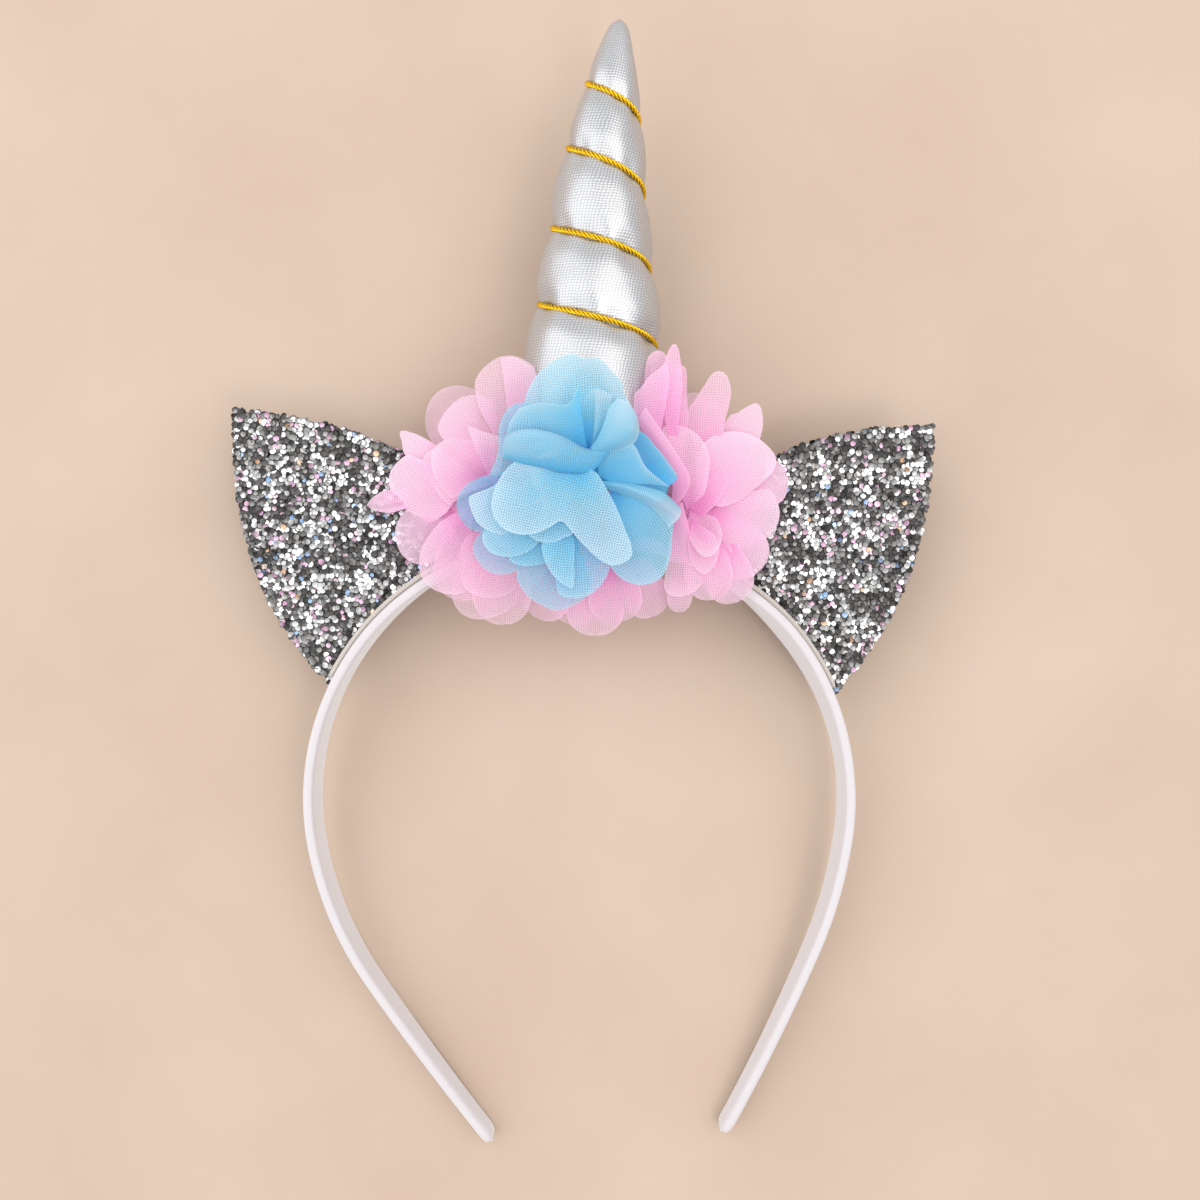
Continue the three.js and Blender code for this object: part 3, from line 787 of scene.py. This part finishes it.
def petalOutline(along, power):
    foot, widest = petalLook["foot"], petalLook["widest"]
    rising = foot + (1 - foot) * np.sin(np.clip(along / widest, 0, 1) * pi / 2)
    beyond = np.clip((along - widest) / (1 - widest), 0, 1)
    return np.where(along < widest, rising, (1 - beyond**power) ** (1 / power))


def clearOfHorn(points, gap):
    start, stop = hornLook["y"][0], hornLook["y"][-1]
    share = np.clip((points[:, 1] - start) / (stop - start), 0, 1)
    inFront = points[:, 1] > start - hornLook["baseClear"]
    middle = axisPoint(share)
    off = points[:, [0, 2]] - middle[:, [0, 2]]
    reach = np.linalg.norm(off, axis=1)
    wanted = hornRadius(share) + gap
    push = np.where(inFront & (reach < wanted), wanted / np.maximum(reach, 1e-6), 1)
    moved = points.copy()
    moved[:, [0, 2]] = middle[:, [0, 2]] + off * push[:, None]
    return moved


def rimMark(inwards):
    return np.exp(-inwards / petalLook["rimWidth"])


# root is the petal's foot from the flower's middle, aim its heading in degrees from +X, low and high the
# heights of its foot and tip, arch the rise between them, square how blunt its tip is.
def makePetal(
    bm, middle, rng, root, aim, length, width, low, high, arch=2, square=2.2, gather=0.4, pale=1, thin=0,
):
    phase = rng.uniform(0, 2 * pi, 4)
    gathers = rng.integers(3, 6)
    outward, sideways = onArc(90 - aim, 1), onArc(-aim, 1)
    foot = np.array(middle) + root
    run = np.hypot(length, high - low)  # length of the cloth from foot to tip

    def surface(u, v):
        along = 1 - (1 - v) ** petalLook["crowd"]
        across = 2 * u - 1
        half = width / 2 * petalOutline(along, square)
        side = across * half
        plan = foot + np.outer(along * length, outward) + np.outer(side, sideways)
        z = low + (high - low) * along ** petalLook["droop"] + 4 * along * (1 - along) * arch
        z = z + gather * (1 - along) ** petalLook["gatherPower"] * np.cos(gathers * pi * across + phase[0])
        wave = petalLook["waveTurns"] * pi * across / 2 + petalLook["waveSkew"] * along + phase[1]
        z = z + petalLook["wave"] * along**2 * np.sin(wave)
        points = clearOfHorn(stack([plan, z]), petalLook["hornGap"])
        cloth = stack([side + phase[2], along * run + phase[3]])
        inwards = np.minimum((1 - np.abs(across)) * half, (1 - along) * run)
        rim = rimMark(np.maximum(inwards, 0))
        return liftToRest(points, petalLook["restGap"]), cloth, along * pale, rim, thin

    addSurface(bm, petalLook, surface, petalMarks)


# A fan is one sheet with several lobes: reach gives its edge at each heading from the root.
def makeFan(bm, middle, rng, root, low, high, arch, angles, reach, pale=1, thin=0):
    phase = rng.uniform(0, 2 * pi, 4)
    reachAt = smoothTable(angles, reach)
    start, stop = angles[0], angles[-1]
    headings = np.linspace(start, stop, fanLook["headings"])
    nearby = bell(headings[:, None] - headings, fanLook["lobeBlend"])
    sheetReach = (nearby * reachAt(headings)).sum(1) / nearby.sum(1)
    foot = np.array(middle) + root
    grain = radians((start + stop) / 2 - 90)
    c, s = cos(grain), sin(grain)

    def surface(u, v):
        along = 1 - (1 - v) ** fanLook["crowd"]
        heading = start + (stop - start) * u
        edge = reachAt(heading)
        off = (along * edge)[:, None] * onArc(90 - heading, 1)
        reached = np.clip(along * edge / np.interp(heading, headings, sheetReach), 0, fanLook["farthest"])
        bow = 4 * reached * np.maximum(1 - reached, 0) * arch
        z = low + (high - low) * reached ** petalLook["droop"] + bow
        z = z + fanLook["ripple"] * reached * np.sin(np.radians(heading) * fanLook["ripples"] + phase[0])
        points = clearOfHorn(stack([foot + off, z]), petalLook["hornGap"])
        x, y = off.T
        cloth = stack([x * c + y * s, y * c - x * s]) + phase[2:]
        return points, cloth, reached * pale, rimMark((1 - along) * edge), thin

    addSurface(bm, fanLook, surface, petalMarks)


def smoothRows(values, at):
    last = len(values) - 1
    i = np.clip(np.floor(at * last).astype(int), 0, last - 1)
    t = (at * last - i)[:, None]
    a, b, c, d = [values[np.clip(i + k, 0, last), np.arange(len(at))] for k in (-1, 0, 1, 2)]
    return b + 0.5 * t * (c - a + t * (2 * a - 5 * b + 4 * c - d + t * (3 * (b - c) + d - a)))


# A drape is a folded petal: lines of x, y, z from its root to its tip, one for each fold and edge, and for
# each line how pale it is: partly the dye paling, partly painted shade, deep in fold valleys, on the
# underside of a roll and at the gathered root.
def makeDrape(bm, middle, rng, paleAndLitLines, lines, hems=(), fade=0):
    phase = rng.uniform(0, 2 * pi, 2)
    lines = [np.array(line) + (*middle, 0) for line in lines]
    paleAndLitAt = smoothTable(np.linspace(0, 1, len(lines)), paleAndLitLines, eased=True)
    length = np.mean([runAlong(line)[-1] for line in lines])
    width = runAlong(np.array([line[len(line) // 2] for line in lines]))[-1]

    def surface(u, v):
        folds = np.stack([smoothRows(np.repeat(line[:, None], len(u), axis=1), u) for line in lines])
        points = clearOfHorn(smoothRows(folds, v), petalLook["hornGap"])
        cloth = drapeLook["fullness"] * stack([v * width, u * length]) + phase
        edges = {"first": v * width, "last": (1 - v) * width, "tip": (1 - u) * length}
        rim = sum(drapeLook["hem"] * rimMark(edges[hem]) for hem in hems)
        # painted shade: the root stays deeper, and low values on a line keep a valley dark
        pale = paleAndLitAt(v) * (drapeLook["rootPaleAndLit"] + (1 - drapeLook["rootPaleAndLit"]) * u) + fade * u**3
        return points, cloth, pale, rim, 0

    addSurface(bm, drapeLook, surface, petalMarks)


def makeCore(bm, middle, rng, low, high, radius):
    phase = rng.uniform(0, 2 * pi)

    def surface(u, v):
        angle = 2 * pi * u
        folded = 1 + coreLook["foldDepth"] * np.sin(coreLook["folds"] * angle + phase)
        reach = radius * np.sin(v * pi / 2) * folded
        plan = np.array(middle) + stack([reach * np.cos(angle), reach * np.sin(angle)])
        z = low + (high - low) * np.cos(v * pi / 2)
        z = z + coreLook["waveHeight"] * v * np.sin(coreLook["waves"] * angle + 2 * phase)
        points = clearOfHorn(stack([plan, z]), coreLook["hornGap"])
        # the core is deeper towards its middle: partly the gathered dye, partly painted shade where the
        # petals close over it
        return points, stack([angle * radius, v * radius]), coreLook["pale"] * v, 0, 0

    addSurface(bm, coreLook, surface, petalMarks)


def rowFor(make):
    return lambda *sizes, **more: (make, sizes, more)


def makeFlower(name, flower, material, slot):
    rng = np.random.default_rng(flower["seed"])
    bm = bmesh.new()
    for make, sizes, more in flower["rows"]:
        make(bm, flower["middle"], rng, *sizes, **more)
    makeCore(bm, flower["middle"], rng, *flower["core"])
    bmesh.ops.remove_doubles(bm, verts=bm.verts, dist=flowerWeld)
    area = sum(f.calc_area() for f in bm.faces)
    piece = finishPiece(name + "_petals", bm, material, name)
    print(name, len(flower["rows"]), "petals", round(area * 1e4, 1), "cm2")
    return piece


# Each flower's rows of petals, its core's low and high ends and radius, and the scalloped strip it is cut as:
# width and length in m, and the area left between the scallops.
petal, fan, drape = rowFor(makePetal), rowFor(makeFan), rowFor(makeDrape)
# Where a petal's paleness is set below 1 it stays deeper and darker: partly its dye, partly painted shade on
# petals that lie under others.
flowerBlue = dict(middle=(2, 75.4), seed=5, core=(24.4, 29.6, 6), cut=(0.02, 0.24, 0.0036), rows=[
    petal((2, 3), 70, 13, 9, 28.4, 27.2, arch=0.3, pale=0.6),
    petal((4, 0.5), 342, 13.5, 8, 27.8, 26.8, arch=0.3, pale=0.2),
    petal((-11, -2.5), 202.4, 17.1, 11, 26, 24.5, pale=0.3, thin=0.9),
    fan((0, 4), 29.8, 26.2, 0.8,
        [32, 56, 63, 73, 82, 92, 98, 106, 115, 126, 144, 160],
        [12.5, 14.1, 16.1, 17.6, 19.4, 19.3, 20.4, 20.2, 19.6, 18.6, 15.9, 11], pale=0.75),
    fan((-3, 3), 31.8, 31.4, 1,
        [184, 191, 204, 211, 219, 228, 236, 246, 253, 260, 266, 277, 288, 294, 303, 307, 317, 327],
        [11, 13.4, 17.4, 19.1, 20.1, 20, 19, 16.8, 14.8, 13.2, 13.9, 17.7, 22.8, 23.9, 22.9,
         17.7, 9.8, 6.1]),
    fan((-6, 5), 30, 28.2, 1,
        [120, 139, 157, 173, 182, 192, 202, 207],
        [10.5, 12.7, 12.7, 12.1, 12, 13, 14.8, 12.5], pale=0.4, thin=0.6),
    fan((-5, -4), 29.8, 30, 0.3,
        [225, 231, 240, 249, 258, 266, 273, 284, 292],
        [9, 11, 11.3, 11.1, 10.7, 10, 9.4, 8.9, 7.5], pale=0.7, thin=0.15),
    fan((-5, -8), 29.2, 29, 0.4,
        [232, 238, 252.6, 259, 265.3, 272, 278, 280, 283.5, 292.8],
        [6, 8, 11.2, 12.7, 14, 15.3, 15.9, 14.2, 10.3, 6.2], pale=0.6, thin=0.15),
    fan((0, -8), 28.4, 27.7, 0.5,
        [240, 248, 252, 261, 272, 282, 293.6, 299.5, 308],
        [12, 16.8, 18.2, 18.3, 17.3, 15.3, 12.2, 10.3, 7], pale=0.5, thin=0.4),
    fan((-9, -6), 28.6, 28.4, 0.5,
        [200, 205, 210, 221, 228, 234, 242, 250, 262, 270],
        [10, 13, 14.5, 15.2, 14.7, 14, 12.8, 11.4, 8.9, 7], pale=0.6, thin=0.15),
    fan((-7, -8), 27.6, 27.2, 0.4,
        [220, 227, 238, 252, 265.6, 275], [11, 13.4, 13.2, 11.8, 10.4, 8.5], pale=0.45, thin=0.2),
    fan((-9, -7), 26.6, 25.2, 0.6,
        [200, 209.6, 220.5, 232, 242, 249, 258], [13, 17, 18, 17.7, 16, 13.9, 10], pale=0.45, thin=0.9),
    fan((-3.5, -10), 26, 24.4, 0.6,
        [216, 225.5, 236, 243, 249.6, 256, 262, 274, 282, 290],
        [12, 16, 17.7, 18.4, 18.7, 19, 19.1, 17.5, 16.2, 13], pale=0.5, thin=0.7),
    fan((-9, -4), 29.2, 29, 0.6,
        [165, 176, 181, 184, 192, 207, 222, 236], [8.5, 11, 13.5, 15.1, 15.2, 14.7, 12.9, 10.5], pale=0.95),
    fan((5, -3), 29.2, 28, 1.2,
        [264, 272, 278.5, 289, 300, 312, 322, 335],
        [13.5, 17.4, 19.6, 21.4, 21.3, 18.5, 16, 14.3], pale=0.5, thin=0.1),
    drape([0, 1, 0.75, 0.25, 0], lines=[
        [(5.2, 4.8, 31), (0.2, 4.8, 30.6), (-4.7, 7, 31.4), (-9.1, 7.8, 31.6), (-12.4, 7.8, 31.6),
         (-14.8, 7.4, 31.6), (-16, 6.8, 31.6)],
        [(5.4, 4.7, 32.2), (0.1, 4.2, 33), (-5, 6.7, 35.4), (-9, 7.9, 36), (-12.4, 8.1, 35.6),
         (-14.8, 7.6, 34.6), (-16.2, 7, 33)],
        [(4.8, 3.8, 32), (0.4, 2.5, 33.4), (-4.9, 3.6, 35.6), (-8.9, 4.7, 36), (-12.6, 5, 35.4),
         (-15.4, 5, 34.4), (-16.8, 5, 32.8)],
        [(3.9, 2.8, 31.6), (0.8, -0.1, 32.4), (-4.6, -0.2, 33), (-8.4, 0.7, 33.2), (-12.6, 1.5, 33),
         (-15.2, 2.2, 32.4), (-16.7, 2.9, 32)],
        [(3.6, 3, 30.6), (0.4, 1.5, 30.8), (-4.7, 1.5, 31.2), (-8.1, 2, 31.4), (-13, 2.8, 31.2),
         (-15.2, 3.2, 31.2), (-16.4, 3.6, 31.4)],
    ]),
    drape([0.3, 0.6, 0.8], hems=("last", "tip"), lines=[
        [(0.1, 4.8, 31.6), (-2, 5.6, 30.8), (-5, 6, 30.4), (-9, 6, 30.2), (-16, 6, 31.2)],
        [(-0.8, 10.4, 33), (-3, 10, 32), (-6, 9.8, 31.6), (-9.5, 9.8, 31.6), (-15.6, 9.4, 32)],
        [(-1.5, 16.8, 34.2), (-3.6, 13.4, 33.4), (-6.4, 13.4, 33.4), (-9.7, 13.5, 33.5), (-13.4, 12.6, 33)],
    ]),
    drape([0.2, 0.2, 0.7, 0.4], fade=0.7, lines=[
        [(0.2, 5, 30.2), (-0.9, 10, 30.6), (-1.8, 16.4, 28.4)],
        [(0.8, 5, 30.3), (1.1, 10, 30.8), (1.1, 16.6, 28.6)],
        [(1.3, 5.2, 31), (1.9, 10, 32), (2.3, 16.8, 29)],
        [(1.8, 5.6, 30.8), (3.8, 9.6, 31.6), (5.4, 15.6, 28.8)],
    ]),
    drape([0.8, 1, 0.8, 1], hems=("last", "tip"), lines=[
        [(0.7, 4.7, 32.2), (2.2, 6.6, 33.2), (3.5, 9.4, 34), (4.6, 12.6, 34.4), (6.2, 14.4, 34)],
        [(1.2, 4.3, 32.7), (4.2, 6.4, 34), (6.2, 9, 34.8), (7.4, 11.6, 35), (8.2, 13.6, 34.4)],
        [(1.5, 3.9, 32.7), (5.6, 5.2, 33.6), (8.6, 7.4, 34.2), (9.6, 9.6, 34.2), (9.7, 11.8, 33.6)],
        [(1.6, 3.5, 31.8), (5.6, 3.9, 31.9), (9.2, 5.3, 32), (10.5, 7.4, 32.2), (10.6, 9.2, 32.4)],
    ]),
    drape([0.3, 0.14, 0.1], hems=("first",), lines=[
        [(5.5, 8.4, 30.6), (10.9, 8.1, 30.8), (14.2, 4.9, 30.6), (16.6, 2, 30.2), (18.5, -0.7, 29.8)],
        [(4.5, 5.5, 29.6), (9.5, 5.5, 29.3), (12.8, 2.2, 29.2), (15.3, 0.2, 29.3), (18.3, -1.7, 29.6)],
        [(4, 3, 29.5), (8, 3, 29), (11.5, 0, 29), (14, -1.5, 29.2), (17, -2.8, 29.5)],
    ]),
    drape([1, 0.5, 0.3], hems=("first",), lines=[
        [(2.2, 1.5, 31.2), (6.5, 5, 31.8), (9.5, 5.3, 32.2), (12.2, 0.7, 31.8), (17, -3, 30)],
        [(2.4, 0.2, 30.6), (6.2, 1.6, 31.2), (9.4, 1.4, 31.4), (12, -1, 31), (16.8, -3, 29.9)],
        [(2.5, -0.8, 30.2), (5, -2, 30.4), (8.6, -2.5, 30.5), (12.5, -2.5, 30.3), (16.4, -3, 29.8)],
    ]),
    drape([0.5, 0.9, 0.7], hems=("tip",), lines=[
        [(2.8, -1.8, 30.6), (8.4, -2.3, 31), (15.5, -4.2, 31), (19.3, -7.6, 30.4)],
        [(2.9, -2.4, 31), (8.4, -3.4, 32.2), (14.6, -6, 32.5), (18.8, -9.4, 31)],
        [(3, -3, 30.4), (8.4, -5.1, 30), (13, -7.2, 30.2), (16.8, -11.4, 29.5)],
    ]),
])
flowerPinkLeft = dict(middle=(-20.2, 73.2), seed=7, core=(8, 14.5, 7), cut=(0.02, 0.24, 0.0036), rows=[
    petal((-14, -2.5), 189, 13, 5, 11.2, 10.2, square=1.4, thin=-0.4),
    petal((-2, -6), 256, 20, 13, 13.6, 13, thin=0.5),
    petal((3, -12), 272, 19, 13, 13, 12.2, thin=0.6),
    petal((5, -8), 284, 15.5, 12, 14.6, 13.8, thin=0.5),
    fan((7, 2.2), 15.8, 17, 0.8,
        [74, 78, 85, 91, 98, 105, 112, 115.5, 120], [17, 22, 24.1, 25, 25, 23.9, 22.2, 20.4, 15], thin=0.15),
    fan((7, 2.2), 16.8, 18, 0.8,
        [68, 78, 85, 91, 97.5], [15, 21.5, 23.6, 24.5, 24.6], thin=0.2),
    fan((-1, 2), 12, -6, 5.5,
        [94.6, 100, 107, 114, 121, 128, 133.5, 139, 144, 150],
        [18.9, 20.8, 22.4, 23.4, 23.6, 22.8, 21.6, 19.8, 17, 12.2], thin=0.1),
    fan((2, 2), 15, 14, 1.4,
        [87, 90.5, 98, 107, 114, 120, 133.5, 141, 147], [12.8, 15.7, 17.2, 18, 18.1, 17.8, 16.7, 15.7, 12]),
    fan((-3, 1), 13.6, 12.6, 1.4,
        [158, 165, 173, 179, 186, 195.5, 204.5, 214, 225.6, 232],
        [15, 16.5, 17.9, 18.3, 18.2, 16.5, 15.9, 14.4, 12.9, 9], thin=-0.8),
    fan((-4, 3), 12.6, 11.4, 0.8,
        [142, 145, 149.5, 156.7, 165, 172], [10, 14, 17.2, 15.9, 14.5, 12], thin=-0.8),
    fan((0, 0), 15.4, 14.6, 1.6,
        [140, 156, 167, 182, 198, 210], [13, 14.6, 13.5, 11.3, 10, 9]),
    fan((2, 0), 15.6, 15.8, 2.2,
        [110, 122, 130, 142, 153, 160, 176, 188.5, 199],
        [10, 11.2, 12.9, 14.6, 14.9, 14.5, 12.5, 10.8, 9.4]),
    fan((2.5, -1), 17.4, 20, 0.4,
        [75, 91, 103, 111, 113.8, 116], [10.5, 11.4, 12.5, 13.9, 14.1, 9]),
    fan((-5, -5), 12.4, 11.2, 1,
        [175, 182.6, 193, 201.6, 209, 218.5, 232, 242],
        [11, 13, 15.3, 16.6, 17.1, 17.4, 16.1, 13], thin=-0.2),
    fan((-3, -4), 14.6, 14.2, 1.8,
        [212, 221.6, 225, 232, 240, 249, 257, 263, 272],
        [8, 14.4, 16.2, 18.7, 20.4, 20.9, 20.6, 20, 17], thin=0.2),
    fan((1, -7), 15.6, 15, 1.6,
        [222, 228.5, 233, 241, 251.5, 261, 273, 283, 290, 300],
        [7, 10.3, 12.4, 14.3, 16.7, 17.6, 17.8, 17.3, 16.4, 13], thin=0.5),
    fan((1, -11), 14, 13.2, 1.2,
        [230, 239, 247, 255, 264, 273, 284, 293, 303],
        [13, 16.7, 18.4, 19, 18.8, 18, 17, 15.5, 12], thin=0.7),
    # a darker petal inside the flower, in the shade between the others: its deep colour is painted shade
    fan((4, -1), 13.8, 12.4, 0.4,
        [170, 182, 196, 210, 224], [11, 13.6, 14.6, 14.2, 12], pale=0.4, thin=-0.8),
])
flowerPinkRight = dict(middle=(25.7, 69.6), seed=9, core=(8, 16.6, 7.6), cut=(0.02, 0.26, 0.0039), rows=[
    petal((0, 7), 83, 18.5, 11, 10, -6, arch=5),
    petal((6, 2), 12, 14.8, 11, 12, 11.2, thin=-0.8),
    petal((3.5, -4), 313, 15.7, 12, 13, 12.5, thin=-0.8),
    petal((0, -2.5), 62, 10.5, 6, 17, 17.2, arch=0.3, gather=0.1, pale=0.7),
    petal((1, -7), 281, 15, 10.5, 14.5, 13.8),
    petal((3.5, -8), 293, 15.5, 11, 13.5, 12.8),
    petal((-3, -15), 266, 9.7, 5.5, 13, 12),
    fan((-6, 6), 16.2, 17.2, 0.6,
        [86, 92, 95.7, 99, 103, 107, 111, 115.6, 121],
        [20, 25, 26.1, 25.6, 24.1, 21.6, 19, 17.8, 12], pale=0.6),
    fan((-5, 7), 18, 20, 0.6,
        [85, 87.5, 89, 90.6, 92.6, 94.8, 98, 102], [17, 22.8, 25, 25.8, 25.2, 23.4, 20, 14], pale=0.5),
    fan((-4, 7), 17.2, 18.6, 0.6,
        [78, 84, 86, 89, 92, 97], [9, 15, 20.4, 21.6, 21.3, 17], pale=0.5),
    fan((-9, 9), 18.8, 21, 0.4,
        [80, 84, 90, 96, 103, 110, 118], [16, 19.5, 18.2, 17, 15, 13.9, 9], pale=0.55),
    fan((1.5, 6), 14, 14.4, 1,
        [62, 66, 68, 70.3, 73, 76.7, 80, 83, 86, 89, 93, 98, 103.5, 109],
        [8, 10.5, 12.5, 17.5, 19.7, 21.6, 22.2, 22.1, 21, 19.2, 17.4, 15.6, 14.1, 10], pale=0.75),
    fan((2, 4), 12.6, 11.4, 1,
        [37, 43, 49, 54, 57.5, 60, 65, 69.7, 74],
        [14.7, 17.3, 19.4, 20.7, 20.6, 19.4, 16.8, 15.3, 10], thin=-0.8),
    fan((0, -0.5), 15.6, 15.2, 1.6,
        [-9, 9, 18, 23, 29.6, 37, 47, 58, 69, 82, 92],
        [5.2, 11, 15.3, 18.2, 19.7, 19.7, 19.2, 18.1, 16.3, 13.5, 10], thin=-0.8),
    fan((-2, -2), 17, 18.4, 1.8,
        [46, 59, 66, 74, 82.5, 90, 99, 106, 118], [4.6, 8.1, 11.5, 14, 16, 17.4, 18.3, 18.5, 15]),
    fan((2, -3), 14.6, 13.8, 1.4,
        [-57, -45, -29, -17, -7, 3.5, 16, 23, 26, 34],
        [7.1, 10, 12.7, 15.1, 16.1, 16.4, 15.7, 14.5, 12, 6], thin=-0.8),
    fan((-1.5, -2), 16.8, 18.6, -1,
        [258, 265, 274, 285, 299, 317.6, 331, 345], [3.5, 5, 7.6, 10.2, 10.7, 9.2, 7.5, 5.4]),
    fan((-3, -2), 16, 15.6, 1.2,
        [240, 245, 253, 256.5, 258.5, 264, 271.5, 280, 289, 298],
        [3.5, 6, 12, 16.8, 18.1, 18.8, 18.7, 17.7, 14.9, 8]),
    fan((-1, -4), 16.6, 17, 0.8,
        [258, 268, 274, 280.6, 288, 294.5, 311, 325], [5, 9, 10.7, 12, 12, 11.3, 8.9, 6]),
    drape([0.4, 0.6, 0.7], hems=("last",), lines=[
        [(-5.8, -1, 18.2), (-5.6, 4, 19.6), (-8.6, 10.4, 20.4), (-13.2, 16.6, 20.6)],
        [(-4.8, -0.6, 18.8), (-3.8, 4.2, 20.4), (-6.8, 10.4, 21.2), (-12.6, 18, 21.2)],
        [(-3.5, 0, 18.6), (-1.8, 4.4, 20), (-4.6, 9.8, 20.8), (-11.4, 19.6, 20.8)],
    ]),
    drape([0.6, 0.95, 0.3], hems=("last", "tip"), lines=[
        [(-4.8, -0.5, 17.2), (-5.3, -6.3, 17), (-6.2, -13, 16.2)],
        [(-3.9, -0.4, 17.8), (-3.4, -6, 17.8), (-2.6, -13.6, 16.8)],
        [(-3.2, -0.3, 17.6), (-1.6, -6.5, 17.4), (0.4, -14.6, 16.6)],
    ]),
])
flowerPinkMiddle = dict(middle=(4.2, 57.4), seed=3, core=(11.6, 14.5, 6), cut=(0.016, 0.12, 0.0015), rows=[
    petal((-0.6, -1.6), 270, 16.5, 13, 12.6, 8),
    petal((3, -1), 276, 14, 12, 13.4, 9.5),
    petal((7.8, -1), 291, 13.6, 10, 13, 8.5),
    petal((-7.8, -2.8), 240, 12.7, 11, 12.6, 8.5),
    petal((-4.2, -2.8), 264, 12.8, 10, 12.2, 8),
    # these stand up against the horn's base, under the blue flower
    petal((-12, 1.5), 100, 3.2, 10, 12.2, 18, arch=0.6),
    petal((-7, 1.2), 96, 3.4, 11, 12.4, 21.5, arch=0.6),
    petal((-1.5, 1), 91, 3.6, 12, 12.4, 23, arch=0.6),
    petal((4, 1), 86, 3.4, 11, 12.4, 21.5, arch=0.6),
    petal((9.5, 1.2), 80, 3.2, 10, 12.2, 18, arch=0.6),
])
flowers = {
    "flower_blue": flowerBlue, "flower_pink_left": flowerPinkLeft,
    "flower_pink_right": flowerPinkRight, "flower_pink_middle": flowerPinkMiddle,
}
for name, flower in flowers.items():
    blue = name == "flower_blue"
    finish = (blueChiffon, "blue_chiffon") if blue else (pinkChiffon, "pink_chiffon")
    piece = makeFlower(name, flower, *finish)
print("flowers made")


# Floor and light.
def makeFloor(half, squares):
    bm = bmesh.new()
    bmesh.ops.create_grid(bm, x_segments=squares, y_segments=squares, size=half)
    mesh = meshFrom("floor", bm)
    mesh.materials.append(paleFloor)
    floor = addObject("floor", mesh)


def addLamp(name, place, size, power, colour=(1, 1, 1)):
    lamp = bpy.data.lights.new(name, "AREA")
    lamp.shape = "SQUARE"
    lamp.size = size
    lamp.energy = power
    lamp.color = colour
    holder = addObject(name, lamp)
    holder.location = place
    holder.rotation_euler = (-Vector(place)).to_track_quat("-Z", "Y").to_euler()
    return holder


makeFloor(half=2, squares=4)
addLamp("softboxRight", (0.5, 0.15, 0.95), size=1.2, power=7.4, colour=(1, 0.98, 0.96))
addLamp("softboxLeft", (-0.85, 0.1, 0.75), size=1.6, power=10, colour=(0.98, 0.99, 1))
addLamp("softboxFront", (0.36, -0.42, 1), size=0.3, power=1.7)
fill = addLamp("softboxBack", (-0.45, 0.75, 0.8), size=0.8, power=2.4)
fill.visible_glossy = False  # it lights the floor and leaves the horn's highlights alone
world = bpy.data.worlds.new("studio")
world.use_nodes = True
setInputs(world.node_tree.nodes["Background"], {"Color": (1, 1, 1, 1), "Strength": 0.74})
bpy.context.scene.world = world
bpy.context.scene.view_settings.view_transform = "Standard"
print("floor and lights ready")
